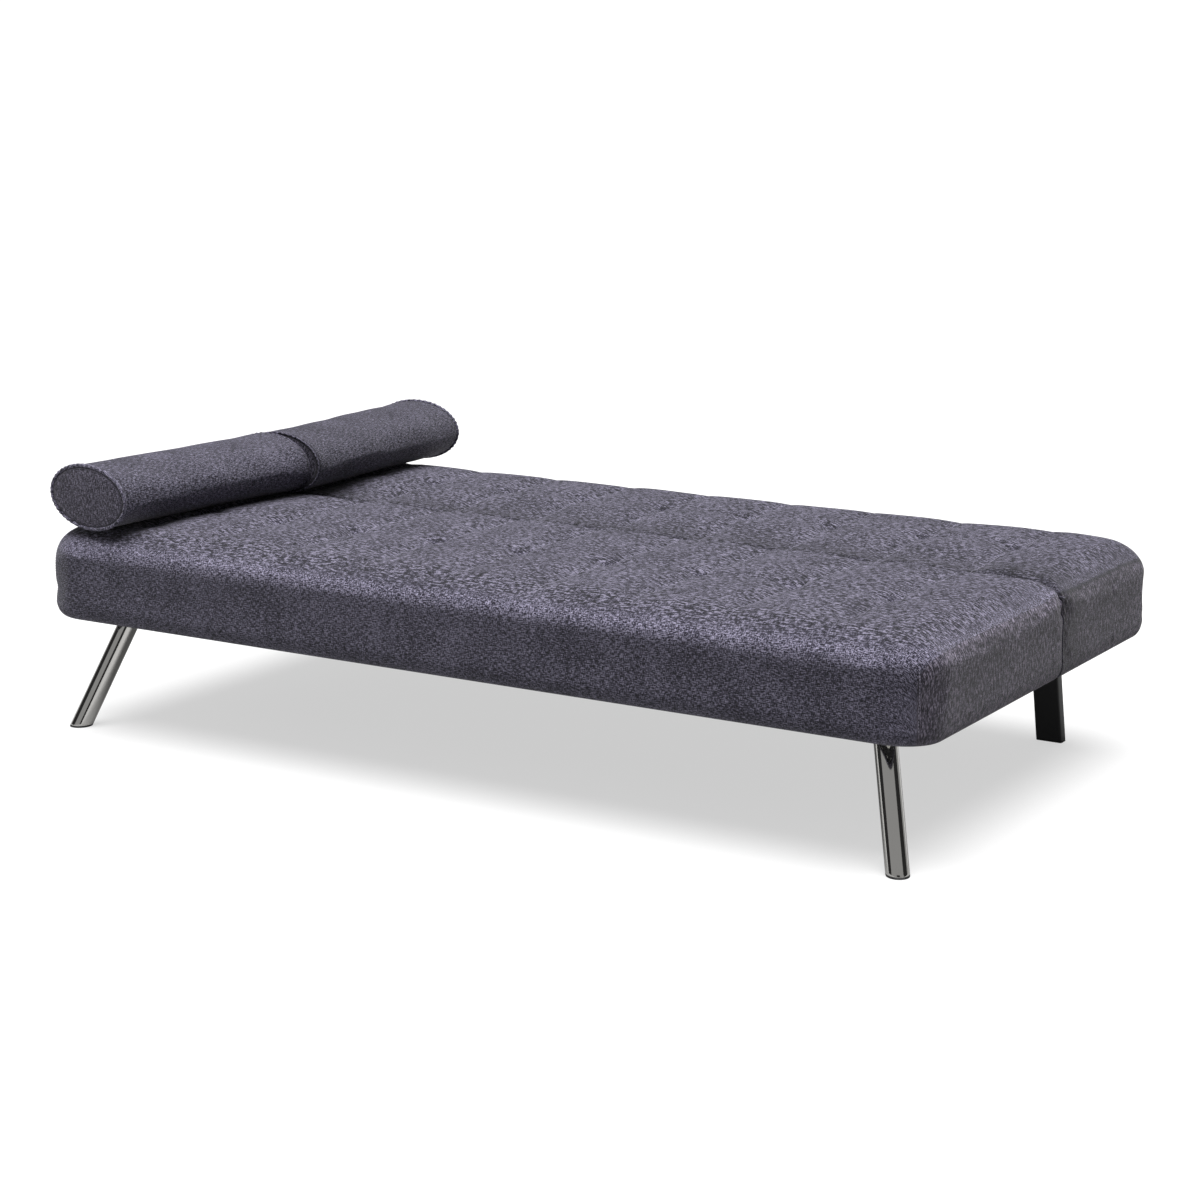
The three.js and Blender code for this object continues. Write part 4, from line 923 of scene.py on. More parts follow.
    # The end that meets the other bolster is turned square to the bed
    turn = math.atan2(x1 - x0, y1 - y0)
    towards = points[:, 1] / length if meetingEnd == 1 else 1 - points[:, 1] / length
    points[:, 1] += points[:, 0] * math.tan(turn) * ease((towards - 0.55) / 0.45)
    obj = meshObject(name, points, faces)
    layer = obj.data.uv_layers.new(name="weave")
    flatUvs = np.concatenate(uvs)
    for face in obj.data.polygons:
        wraps = max(obj.data.loops[k].vertex_index % around for k in face.loop_indices) == around - 1
        for k in face.loop_indices:
            vertex = obj.data.loops[k].vertex_index
            u, v = flatUvs[vertex]
            if wraps and vertex % around == 0 and isPanel[face.index] == 0:
                v = girth[-1] + (girth[1] - girth[0])
            layer.data[k].uv = (u, v)
    # The bolsters' end panels get part of the warmer tint and painted shade
    endTintShade = obj.data.attributes.new("endPanelTintAndShade", "FLOAT", "FACE")
    endTintShade.data.foreach_set("value", np.array(isPanel, np.float32) * 0.4)
    pointAttribute(obj, "seamAway", np.concatenate(seamAway))
    pinned = np.zeros(len(points), bool)
    for ring in (0, 1, body0 - 2, body0 - 1, panels[0], panels[1]):
        pinned[ring * around:(ring + 1) * around] = True
    setPoints(obj, points + clothMoves(obj, pinned, cloth))
    obj.modifiers.new("smooth", "SUBSURF").levels = 1
    obj.modifiers["smooth"].render_levels = 1
    applied(obj)

    pieces = [obj]
    for atEnd in (0, 1):
        first = 0 if atEnd == 0 else (body0 - 1) * around
        ring = points[first:first + around]
        outward = np.stack([crossX / (width / 2) ** 2, np.zeros(around), crossZ / (thickness / 2) ** 2], axis=-1)
        outward /= np.linalg.norm(outward, axis=1)[:, None]
        centres = ring + outward * 0.0009
        centres[:, 1] += (-0.0006, 0.0006)[atEnd]
        tubePoints, tubeFaces = ringTube(centres, outward,
                                         shape["meetingPipe" if atEnd == meetingEnd else "pipeRadius"])
        pipe = meshObject(name + "Piping", tubePoints, tubeFaces)
        pipeUv = pipe.data.uv_layers.new(name="weave")
        for face in pipe.data.polygons:
            for k in face.loop_indices:
                vertex = pipe.data.loops[k].vertex_index
                pipeUv.data[k].uv = (girth[vertex % around] + 5, (vertex // around) * 0.0023)
        work = bmesh.new()
        work.from_mesh(pipe.data)
        bmesh.ops.recalc_face_normals(work, faces=work.faces)
        work.to_mesh(pipe.data)
        work.free()
        pieces.append(pipe)
    middlePlace = ((x0 + x1) / 2, (y0 + y1) / 2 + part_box("seat_cover")[0].y, (low.z + high.z) / 2)
    place = (Matrix.Translation(middlePlace) @ Matrix.Rotation(-turn, 4, "Z")
             @ Matrix.Rotation(-tilt, 4, "Y") @ Matrix.Translation((0, -length / 2, 0)))
    for k, piece in enumerate(pieces):
        piece.data.transform(place)
        piece.data.materials.clear()
        piece.data.materials.append(fabric if k == 0 else pipingHighlightFabric)
        smoothShade(piece)
        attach(piece, body)
    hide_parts(nodeName)
    print(f"{name}: {len(obj.data.polygons)} faces")


buildBolster("frontBolster", "bolster_front", "front_bolster", bolsterShape["frontSection"],
             bolsterShape["frontEnds"], 1, 21, bolsterShape, bolsterCloth, bolsterFabric)
buildBolster("rearBolster", "bolster_rear", "rear_bolster", bolsterShape["rearSection"],
             bolsterShape["rearEnds"], 0, 34, bolsterShape, bolsterCloth, rearBolsterShadedFabric)

# Finishes of the frame, legs and hinges
def addGroup(tree, group, **values):
    node = addNode(tree, "ShaderNodeGroup")
    node.node_tree = group
    place = addNode(tree, "ShaderNodeTexCoord")
    tree.links.new(place.outputs["Object"], node.inputs["Place"])
    for name, value in values.items():
        node.inputs[name.replace("_", " ")].default_value = value
    return node


def addBump(tree, bsdf, height, strength, distance):
    bump = addNode(tree, "ShaderNodeBump")
    bump.inputs["Strength"].default_value = strength
    bump.inputs["Distance"].default_value = distance
    tree.links.new(height, bump.inputs["Height"])
    tree.links.new(bump.outputs[0], bsdf.inputs["Normal"])


# Metal: drawn lines along one axis, small scuffs and smears
def metalGroup():
    group, inner, outer = newGroup(
        "metalWear",
        [("Place", "NodeSocketVector", None), ("Line scale", "NodeSocketVector", (40, 40, 900)),
         ("Base", "NodeSocketFloat", 0.1), ("Variation", "NodeSocketFloat", 0.1), ("Scuffs", "NodeSocketFloat", 0.2)],
        [("Roughness", "NodeSocketFloat"), ("Height", "NodeSocketFloat"), ("Wear", "NodeSocketFloat")])
    place = inner.outputs["Place"]
    scaled = addNode(group, "ShaderNodeVectorMath", operation="MULTIPLY")
    group.links.new(place, scaled.inputs[0])
    group.links.new(inner.outputs["Line scale"], scaled.inputs[1])
    lines = noiseNode(group, scaled.outputs[0], 1.0, 3.0, 0.6)
    smears = noiseNode(group, place, 22.0, 4.0, 0.6)
    specks = rampNode(group, noiseNode(group, place, 420.0, 2.0, 0.6), 0.60, 0.72)
    patches = rampNode(group, noiseNode(group, place, 35.0, 2.0), 0.50, 0.66)
    wear = mathNode(group, "MULTIPLY", mathNode(group, "MULTIPLY", specks, patches), inner.outputs["Scuffs"])
    spread = mathNode(group, "MULTIPLY", mathNode(group, "SUBTRACT", mathNode(
        group, "MULTIPLY_ADD", lines, 0.5, mathNode(group, "MULTIPLY", smears, 0.5)), 0.5), 2.0)
    rough = mathNode(group, "MULTIPLY_ADD", spread, inner.outputs["Variation"], inner.outputs["Base"])
    group.links.new(mathNode(group, "MULTIPLY_ADD", wear, 0.35, rough), outer.inputs["Roughness"])
    group.links.new(mathNode(group, "MULTIPLY_ADD", wear, -0.6, lines), outer.inputs["Height"])
    group.links.new(wear, outer.inputs["Wear"])
    return group


# Coated or moulded surfaces: a fine even grain under broad soft changes
def grainGroup():
    group, inner, outer = newGroup(
        "fineGrain",
        [("Place", "NodeSocketVector", None), ("Scale", "NodeSocketFloat", 900.0), ("Base", "NodeSocketFloat", 0.4),
         ("Variation", "NodeSocketFloat", 0.1), ("Dark", "NodeSocketColor", (0.01, 0.01, 0.01, 1)),
         ("Light", "NodeSocketColor", (0.02, 0.02, 0.02, 1))],
        [("Colour", "NodeSocketColor"), ("Roughness", "NodeSocketFloat"), ("Height", "NodeSocketFloat")])
    place = inner.outputs["Place"]
    fine = addNode(group, "ShaderNodeTexNoise")
    group.links.new(place, fine.inputs["Vector"])
    group.links.new(inner.outputs["Scale"], fine.inputs["Scale"])
    fine.inputs["Detail"].default_value = 2.0
    broad = noiseNode(group, place, 17.0, 3.0)
    shade = rampNode(group, mathNode(group, "MULTIPLY_ADD", fine.outputs["Fac"], 0.45,
                                     mathNode(group, "MULTIPLY", broad, 0.55)), 0.35, 0.65)
    group.links.new(mixColour(group, shade, inner.outputs["Dark"], inner.outputs["Light"]), outer.inputs["Colour"])
    spread = mathNode(group, "MULTIPLY_ADD", broad, 2.0, -1.0)
    group.links.new(mathNode(group, "MULTIPLY_ADD", spread, inner.outputs["Variation"], inner.outputs["Base"]),
                    outer.inputs["Roughness"])
    group.links.new(fine.outputs["Fac"], outer.inputs["Height"])
    return group


# Sawn timber: growth rings stretched along the piece, pores and the odd darker streak
def timberGroup():
    group, inner, outer = newGroup(
        "sawnTimber",
        [("Place", "NodeSocketVector", None), ("Stretch", "NodeSocketVector", (1, 14, 14)),
         ("Early", "NodeSocketColor", (0.62, 0.43, 0.24, 1)), ("Late", "NodeSocketColor", (0.36, 0.21, 0.10, 1))],
        [("Colour", "NodeSocketColor"), ("Roughness", "NodeSocketFloat"), ("Height", "NodeSocketFloat")])
    scaled = addNode(group, "ShaderNodeVectorMath", operation="MULTIPLY")
    group.links.new(inner.outputs["Place"], scaled.inputs[0])
    group.links.new(inner.outputs["Stretch"], scaled.inputs[1])
    warp = noiseNode(group, scaled.outputs[0], 0.9, 3.0)
    rings = mathNode(group, "FRACT", mathNode(group, "MULTIPLY", warp, 13.0))
    fibre = noiseNode(group, stretched(group, scaled.outputs[0], (4, 14, 14)), 1.0, 3.0, 0.7)
    shade = mathNode(group, "MULTIPLY_ADD", rings, 0.5, mathNode(group, "MULTIPLY", fibre, 0.5))
    group.links.new(mixColour(group, rampNode(group, shade, 0.25, 0.85), inner.outputs["Early"],
                              inner.outputs["Late"]), outer.inputs["Colour"])
    group.links.new(mathNode(group, "MULTIPLY_ADD", shade, 0.15, 0.62), outer.inputs["Roughness"])
    group.links.new(shade, outer.inputs["Height"])
    return group


metalWear, fineGrain, sawnTimber = metalGroup(), grainGroup(), timberGroup()


def metalMaterial(name, colour, base, variation, scuffs, lines, bump, wornColour):
    material, tree, bsdf = newMaterial(name)
    wear = addGroup(tree, metalWear, Line_scale=lines, Base=base, Variation=variation, Scuffs=scuffs)
    tree.links.new(mixColour(tree, wear.outputs["Wear"], colour, wornColour), bsdf.inputs["Base Color"])
    tree.links.new(wear.outputs["Roughness"], bsdf.inputs["Roughness"])
    bsdf.inputs["Metallic"].default_value = 1.0
    addBump(tree, bsdf, wear.outputs["Height"], 0.25, bump)
    return material


def grainMaterial(name, dark, light, base, variation, scale, bump, specular=0.5, coat=0.0):
    material, tree, bsdf = newMaterial(name)
    grain = addGroup(tree, fineGrain, Scale=scale, Base=base, Variation=variation,
                     Dark=tuple(dark) + (1,), Light=tuple(light) + (1,))
    tree.links.new(grain.outputs["Colour"], bsdf.inputs["Base Color"])
    tree.links.new(grain.outputs["Roughness"], bsdf.inputs["Roughness"])
    bsdf.inputs["Specular IOR Level"].default_value = specular
    bsdf.inputs["Coat Weight"].default_value = coat
    bsdf.inputs["Coat Roughness"].default_value = 0.25
    addBump(tree, bsdf, grain.outputs["Height"], 0.5, bump)
    return material


def timberMaterial(name, stretch):
    material, tree, bsdf = newMaterial(name)
    timber = addGroup(tree, sawnTimber, Stretch=stretch)
    tree.links.new(timber.outputs["Colour"], bsdf.inputs["Base Color"])
    tree.links.new(timber.outputs["Roughness"], bsdf.inputs["Roughness"])
    addBump(tree, bsdf, timber.outputs["Height"], 0.5, 0.0004)
    return material


chrome = metalMaterial("polishedChrome", (0.60, 0.59, 0.57), 0.07, 0.03, 0.12, (60, 60, 60), 0.00001,
                       (0.34, 0.33, 0.32))
zinc = metalMaterial("zincPlate", (0.56, 0.56, 0.53), 0.32, 0.14, 0.5, (25, 25, 420), 0.00006, (0.30, 0.29, 0.26))
weldSteel = metalMaterial("weldSteel", (0.30, 0.29, 0.28), 0.45, 0.2, 0.6, (300, 300, 300), 0.0003, (0.12, 0.10, 0.09))
satinBlack = grainMaterial("satinBlackCoat", (0.0065, 0.0065, 0.0074), (0.0120, 0.0120, 0.0132), 0.46, 0.07,
                           1300.0, 0.00008, specular=0.35)
blackPlastic = grainMaterial("blackPlastic", (0.009, 0.009, 0.0095), (0.016, 0.016, 0.017), 0.55, 0.08,
                             700.0, 0.00012, specular=0.4)
foamMaterial = grainMaterial("openFoam", (0.46, 0.43, 0.33), (0.66, 0.63, 0.52), 0.95, 0.03, 620.0, 0.0008,
                             specular=0.1)
liningMaterial = grainMaterial("bondedLining", (0.010, 0.010, 0.011), (0.026, 0.026, 0.028), 0.85, 0.06,
                               1100.0, 0.0002, specular=0.2)
threadMaterial = grainMaterial("sewingThread", (0.16, 0.152, 0.20), (0.27, 0.26, 0.32), 0.7, 0.08,
                               2500.0, 0.0001, specular=0.3)
timberAlong = timberMaterial("timberAlongBed", (1.0, 16.0, 16.0))
timberAcross = timberMaterial("timberAcrossBed", (16.0, 1.0, 16.0))
print("materials: metals, coatings, timber, foam, lining and thread")


def dress(material, *names):
    for name in names:
        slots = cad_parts[name].material_slots
        for slot in slots:
            slot.material = material


for half in ("seat", "back"):
    dress(timberAcross, *[f"{half}_slat_{k}" for k in range(1, 6)],
          f"{half}_end_rail_left", f"{half}_end_rail_right")
dress(timberAlong, "seat_front_rail", "seat_rear_rail", "seat_centre_rail", "back_front_rail", "back_rear_rail",
      "corner_block_left", "corner_block_right")
for side in ("left", "right"):
    dress(zinc, f"hinge_seat_plate_{side}", f"hinge_back_plate_{side}", f"hinge_pin_{side}",
          f"pawl_{side}", f"pawl_pin_{side}", f"pawl_spring_{side}")


# Geometry Nodes for what repeats: stitches, staples and bolts
def geometryTree(name, inputs):
    tree = bpy.data.node_groups.new(name, "GeometryNodeTree")
    tree.is_modifier = True
    tree.interface.new_socket(name="Geometry", in_out="INPUT", socket_type="NodeSocketGeometry")
    for label, kind in inputs:
        tree.interface.new_socket(name=label, in_out="INPUT", socket_type=kind)
    tree.interface.new_socket(name="Geometry", in_out="OUTPUT", socket_type="NodeSocketGeometry")
    return tree, addNode(tree, "NodeGroupInput"), addNode(tree, "NodeGroupOutput")


def finishTree(tree, inner, outer, instances, smooth):
    real = addNode(tree, "GeometryNodeRealizeInstances")
    tree.links.new(instances, real.inputs[0])
    shade = addNode(tree, "GeometryNodeSetShadeSmooth")
    shade.inputs["Shade Smooth"].default_value = smooth
    tree.links.new(real.outputs[0], shade.inputs["Geometry"])
    finish = addNode(tree, "GeometryNodeSetMaterial")
    tree.links.new(shade.outputs[0], finish.inputs["Geometry"])
    tree.links.new(inner.outputs["Material"], finish.inputs["Material"])
    tree.links.new(finish.outputs[0], outer.inputs["Geometry"])
    return tree


# One small closed form every pitch along the edges of a path, turned along it
def runTree(name, form):
    tree, inner, outer = geometryTree(name, [("Pitch", "NodeSocketFloat"), ("Form size", "NodeSocketVector"),
                                             ("Material", "NodeSocketMaterial")])
    path = addNode(tree, "GeometryNodeMeshToCurve")
    tree.links.new(inner.outputs["Geometry"], path.inputs[0])
    spaced = addNode(tree, "GeometryNodeResampleCurve", mode="LENGTH")
    tree.links.new(path.outputs[0], spaced.inputs["Curve"])
    tree.links.new(inner.outputs["Pitch"], spaced.inputs["Length"])
    heading = addNode(tree, "GeometryNodeInputTangent")
    turned = addNode(tree, "FunctionNodeAlignRotationToVector", axis="X")
    tree.links.new(heading.outputs[0], turned.inputs["Vector"])
    if form == "stitch":
        shape = addNode(tree, "GeometryNodeMeshIcoSphere")
        shape.inputs["Radius"].default_value = 0.5
        shape.inputs["Subdivisions"].default_value = 1
    else:
        shape = addNode(tree, "GeometryNodeMeshCube")
        shape.inputs["Size"].default_value = (1, 1, 1)
    placed = addNode(tree, "GeometryNodeInstanceOnPoints")
    tree.links.new(spaced.outputs[0], placed.inputs["Points"])
    tree.links.new(shape.outputs[0], placed.inputs["Instance"])
    tree.links.new(turned.outputs[0], placed.inputs["Rotation"])
    tree.links.new(inner.outputs["Form size"], placed.inputs["Scale"])
    return finishTree(tree, inner, outer, placed.outputs[0], form == "stitch")


# Hexagon bolts on washers, their heads along the axis given
def boltTree():
    tree, inner, outer = geometryTree("hexBolts", [
        ("Axis", "NodeSocketVector"), ("Head radius", "NodeSocketFloat"), ("Head height", "NodeSocketFloat"),
        ("Washer radius", "NodeSocketFloat"), ("Washer thickness", "NodeSocketFloat"),
        ("Material", "NodeSocketMaterial")])
    size = inner.outputs

    def part(kind, sides, height, lift, **radii):
        node = addNode(tree, kind)
        node.inputs["Vertices"].default_value = sides
        for socket, value in radii.items():
            tree.links.new(value, node.inputs[socket.replace("_", " ")])
        tree.links.new(height, node.inputs["Depth"])
        moved = addNode(tree, "GeometryNodeTransform")
        tree.links.new(node.outputs["Mesh"], moved.inputs["Geometry"])
        offset = addNode(tree, "ShaderNodeCombineXYZ")
        tree.links.new(lift, offset.inputs["Z"])
        tree.links.new(offset.outputs[0], moved.inputs["Translation"])
        return moved.outputs[0]

    washerHeight, headHeight, headRadius = size["Washer thickness"], size["Head height"], size["Head radius"]
    washer = part("GeometryNodeMeshCylinder", 20, washerHeight, mathNode(tree, "MULTIPLY", washerHeight, 0.5),
                  Radius=size["Washer radius"])
    head = part("GeometryNodeMeshCylinder", 6, headHeight,
                mathNode(tree, "MULTIPLY_ADD", headHeight, 0.5, washerHeight), Radius=headRadius)
    chamferHeight = mathNode(tree, "MULTIPLY", headHeight, 0.18)
    chamfer = part("GeometryNodeMeshCone", 18, chamferHeight, mathNode(tree, "ADD", headHeight, washerHeight),
                   Radius_Bottom=mathNode(tree, "MULTIPLY", headRadius, 0.86),
                   Radius_Top=mathNode(tree, "MULTIPLY", headRadius, 0.70))
    whole = addNode(tree, "GeometryNodeJoinGeometry")
    for piece in (washer, head, chamfer):
        tree.links.new(piece, whole.inputs[0])
    turned = addNode(tree, "FunctionNodeAlignRotationToVector", axis="Z")
    tree.links.new(size["Axis"], turned.inputs["Vector"])
    placed = addNode(tree, "GeometryNodeInstanceOnPoints")
    tree.links.new(size["Geometry"], placed.inputs["Points"])
    tree.links.new(whole.outputs[0], placed.inputs["Instance"])
    tree.links.new(turned.outputs[0], placed.inputs["Rotation"])
    return finishTree(tree, inner, outer, placed.outputs[0], False)


stitchRun, stapleRun, hexBolts = runTree("stitchRun", "stitch"), runTree("stapleRun", "staple"), boltTree()


def grown(name, paths, tree, body, values):
    verts, edges = [], []
    for path in paths:
        first = len(verts)
        verts.extend(tuple(point) for point in path)
        edges.extend((first + k, first + k + 1) for k in range(len(path) - 1))
    mesh = bpy.data.meshes.new(name)
    mesh.from_pydata(verts, edges, [])
    obj = bpy.data.objects.new(name, mesh)
    scene.collection.objects.link(obj)
    modifier = obj.modifiers.new("grown", "NODES")
    modifier.node_group = tree
    for item in tree.interface.items_tree:
        if item.in_out == "INPUT" and item.name in values:
            modifier[item.identifier] = values[item.name]
    applied(obj)
    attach(obj, body)
    print(f"{name}: {len(obj.data.polygons)} faces")
    return obj


# Stitches along the sewn lines, laid on the finished covers
stitchLook = {"pitch": 0.0048, "size": (0.0040, 0.0010, 0.0010)}


def treeOver(obj):
    return BVHTree.FromPolygons([v.co for v in obj.data.vertices], [tuple(f.vertices) for f in obj.data.polygons])


def onTop(surface, places, lift=0.0001):
    found = []
    for px, py in places:
        hit = surface.ray_cast(Vector((px, py, 1.0)), Vector((0, 0, -1)))
        if hit[0] is not None:
            found.append(hit[0] + hit[1] * lift)
    return found


def sewLines(name, cover, nodeName, body, shape, look):
    low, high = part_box(nodeName)
    half, depth = (high.x - low.x) / 2, high.y - low.y
    surface = treeOver(cover)
    isSeat = body == "seat"
    outerFace, inwards = (low.y, 1) if isSeat else (high.y, -1)
    panelWidth = 2 * half / shape["panels"]
    paths = []
    for k in range(-(shape["panels"] // 2 - 1), shape["panels"] // 2):
        places = [(k * panelWidth, outerFace + inwards * y) for y in np.arange(0.046, depth - 0.010, 0.004)]
        paths.append(onTop(surface, places))
    for side in (-1, 1):
        # Down the corner's mitre
        radius = shape["cornerRadius"]
        corner = Vector((side * (half - radius), outerFace + inwards * radius, 0))
        out = Vector((side, -inwards, 0)).normalized()
        down = []
        for z in np.arange(0.338, 0.238, -0.005):
            hit = surface.ray_cast(corner + out * 0.2 + Vector((side * 0.0022, inwards * 0.0022, z)), -out)
            if hit[0] is not None:
                down.append(hit[0] + hit[1] * 0.0001)
        paths.append(down)
    return grown(name, [path for path in paths if len(path) > 1], stitchRun, body,
                 {"Pitch": look["pitch"], "Form size": look["size"], "Material": threadMaterial})


sewLines("seatStitching", seatCover, "seat_cover", "seat", coverShape, stitchLook)
sewLines("backStitching", backCover, "back_cover", "backrest", coverShape, stitchLook)

# The strip of fabric down in the valley, which rises over the two hinges; its cloth is painted darker as shade
valleyLook = {
    "floor": 0.3530,
    "overHinge": 0.3704,
    "hingeFrom": 0.8235,
    "hingeTo": 0.8525,
    "reach": 0.8986,
    "dip": 0.0022,
    "tuckIn": 0.0016,
    "thickness": 0.0014,
    "step": 0.005,
}
# Painted shade: the valley's cloth at about half its tone
valleyShadedFabric = fabricMaterial("valleyShadedFabric", tone=0.55, usesAttributes=False)


def buildValley(look):
    seatEdge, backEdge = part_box("seat_cover")[1].y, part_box("back_cover")[0].y
    middle, gap = (seatEdge + backEdge) / 2, (backEdge - seatEdge) / 2
    rollHeight = coverShape["crown"] - coverShape["valleyDip"] - coverShape["valleyRoll"]
    count = round(2 * look["reach"] / look["step"])
    xs = np.linspace(-look["reach"], look["reach"], count + 1)
    radius = coverShape["valleyRoll"] - valleySag(xs, coverShape)
    side = np.abs(xs)
    rise = ease((side - look["hingeFrom"] + 0.018) / 0.018) * ease((look["hingeTo"] + 0.018 - side) / 0.018)
    heights = look["floor"] + (look["overHinge"] - look["floor"]) * rise
    heights = heights + 0.0006 * softNoise(xs, xs * 0, 0.09, 41) * (1 - rise)
    above = np.clip(heights - rollHeight, 0, radius * 0.95)
    reach = gap + radius - np.sqrt(radius ** 2 - above ** 2) + look["tuckIn"]
    shares = np.linspace(-1, 1, 9)
    verts, uvs = [], []
    for under in (0, 1):
        for share in shares:
            z = heights - look["dip"] * (1 - share ** 2) * (1 - 0.75 * rise) - under * look["thickness"]
            verts.append(np.stack([xs, middle + reach * share, z], axis=-1))
            uvs.append(np.stack([xs + 4, share * reach + under * 0.03], axis=-1))
    columns, rows = len(xs), len(shares)
    faces = []
    index = lambda under, row, column: (under * rows + row) * columns + column
    for row in range(rows - 1):
        for column in range(columns - 1):
            a, b = index(0, row, column), index(0, row, column + 1)
            c, d = index(0, row + 1, column + 1), index(0, row + 1, column)
            faces.append((a, b, c, d))
            faces.append(tuple(index(1, *divmod(k - 0, columns)) for k in (d, c, b, a)))
    for column in range(columns - 1):
        faces.append((index(1, 0, column), index(1, 0, column + 1), index(0, 0, column + 1), index(0, 0, column)))
        last = rows - 1
        faces.append((index(0, last, column), index(0, last, column + 1), index(1, last, column + 1),
                      index(1, last, column)))
    for row in range(rows - 1):
        faces.append((index(0, row, 0), index(0, row + 1, 0), index(1, row + 1, 0), index(1, row, 0)))
        end = columns - 1
        faces.append((index(0, row + 1, end), index(0, row, end), index(1, row, end), index(1, row + 1, end)))
    obj = meshObject("valleyStrip", np.concatenate(verts), faces, [valleyShadedFabric])
    layer = obj.data.uv_layers.new(name="weave")
    flat = np.concatenate(uvs)
    for loop in obj.data.loops:
        layer.data[loop.index].uv = flat[loop.vertex_index]
    smoothShade(obj, 60)
    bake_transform(obj)


buildValley(valleyLook)


# The foam slabs under the covers, cut with rounded edges and a little crown
def buildFoam(name, nodeName, body):
    low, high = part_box(nodeName)
    counts = (60, 16)
    xs = np.linspace(low.x + 0.001, high.x - 0.001, counts[0] + 1)
    ys = np.linspace(low.y + 0.001, high.y - 0.001, counts[1] + 1)
    x, y = np.meshgrid(xs, ys)
    edge = np.minimum(np.minimum(x - low.x, high.x - x), np.minimum(y - low.y, high.y - y))
    soft = 0.005 * quarterRoll(1 - edge / 0.005)
    top = high.z - 0.0008 - soft - 0.0006 * (1 + softNoise(x, y, 0.15, 51))
    bottom = np.full_like(top, low.z + 0.0006)
    rows, columns = x.shape
    verts = np.concatenate([np.stack([x, y, z], axis=-1).reshape(-1, 3) for z in (top, bottom)])
    faces = []
    for row in range(rows - 1):
        for column in range(columns - 1):
            a = row * columns + column
            quad = (a, a + 1, a + columns + 1, a + columns)
            faces.append(quad)
            faces.append(tuple(k + rows * columns for k in quad[::-1]))
    rim = [*range(columns), *[r * columns + columns - 1 for r in range(1, rows)],
           *[(rows - 1) * columns + c for c in range(columns - 2, -1, -1)],
           *[r * columns for r in range(rows - 2, 0, -1)]]
    for a, b in zip(rim, rim[1:] + rim[:1]):
        faces.append((a, a + rows * columns, b + rows * columns, b))
    obj = meshObject(name, verts, faces, [foamMaterial])
    smoothShade(obj, 50)
    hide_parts(nodeName)
    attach(obj, body)
    print(f"{name}: {len(faces)} faces")


buildFoam("seatFoamSlab", "seat_foam", "seat")
buildFoam("backFoamSlab", "back_foam", "backrest")

# The front legs: smooth chromed tubes cut level, their foot caps, plates, weld beads and bolts
legLook = {
    "lean": (0.324, 0.393),  # sideways and forward, per unit of height
    "radius": 0.019,
    "wall": 0.0016,
    "around": 56,
    "capThickness": 0.003,
    "capPlug": 0.020,
    "weldRadius": 0.0024,
    "plateEdge": 0.0008,
    "boltHead": 0.0058,
    "boltInset": 0.014,
}


def latheFaces(ringCount, around, closed):
    faces = []
    for ring in range(ringCount if closed else ringCount - 1):
        above = (ring + 1) % ringCount
        for k in range(around):
            ahead = (k + 1) % around
            faces.append((ring * around + k, ring * around + ahead, above * around + ahead, above * around + k))
    return faces


def outwardFaces(obj):
    work = bmesh.new()
    work.from_mesh(obj.data)
    bmesh.ops.recalc_face_normals(work, faces=work.faces)
    work.to_mesh(obj.data)
    work.free()
    return obj


def slantedRing(foot, lean, radius, z, around):
    # One level ring of a leaning round tube
    axis = Vector((lean[0], lean[1], 1)).normalized()
    across = axis.orthogonal().normalized()
    up = axis.cross(across)
    ring = []
    for k in range(around):
        angle = 2 * math.pi * k / around
        out = across * math.cos(angle) * radius + up * math.sin(angle) * radius
        out -= axis * (out.z / axis.z)
        ring.append((foot[0] + lean[0] * z + out.x, foot[1] + lean[1] * z + out.y, z))
    return ring


def finished(obj, body, slotName, material, nodes=(), angle=40):
    obj.data.materials.clear()
    obj.data.materials.append(material)
    outwardFaces(obj)
    smoothShade(obj, angle)
    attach(obj, body)
    if nodes:
        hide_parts(*nodes)
    print(f"{obj.name}: {len(obj.data.polygons)} faces")
    return obj


def leveledProfile(foot, lean, around, profile):
    return [point for radius, z in profile for point in slantedRing(foot, lean, radius, z, around)]


# A flat plate with rounded corners and edges
def roundedPlate(name, x0, x1, y0, y1, z0, z1, corner, edge):
    def outline(inset):
        points = []
        radius = corner - inset
        for cx, cy, start in ((x1 - corner, y0 + corner, -90), (x1 - corner, y1 - corner, 0),
                              (x0 + corner, y1 - corner, 90), (x0 + corner, y0 + corner, 180)):
            for k in range(9):
                angle = math.radians(start + k * 90 / 8)
                points.append((cx + radius * math.cos(angle), cy + radius * math.sin(angle)))
        return points
    rings = [(edge, z0), (edge * 0.3, z0 + edge * 0.3), (0, z0 + edge), (0, z1 - edge), (edge * 0.3, z1 - edge * 0.3),
             (edge, z1)]
    verts = [(px, py, z) for inset, z in rings for px, py in outline(inset)]
    count = 36
    faces = latheFaces(len(rings), count, False)
    faces.append(tuple(range(count - 1, -1, -1)))
    faces.append(tuple(range((len(rings) - 1) * count, len(rings) * count)))
    return meshObject(name, verts, faces)


def boltsAt(name, places, axis, body, look, material=None, head=None):
    obj = grown(name, [[place] for place in places], hexBolts, body, {
        "Axis": axis, "Head radius": head or look["boltHead"], "Head height": 0.0032,
        "Washer radius": 1.45 * (head or look["boltHead"]), "Washer thickness": 0.0009,
        "Material": material or zinc})
    return obj


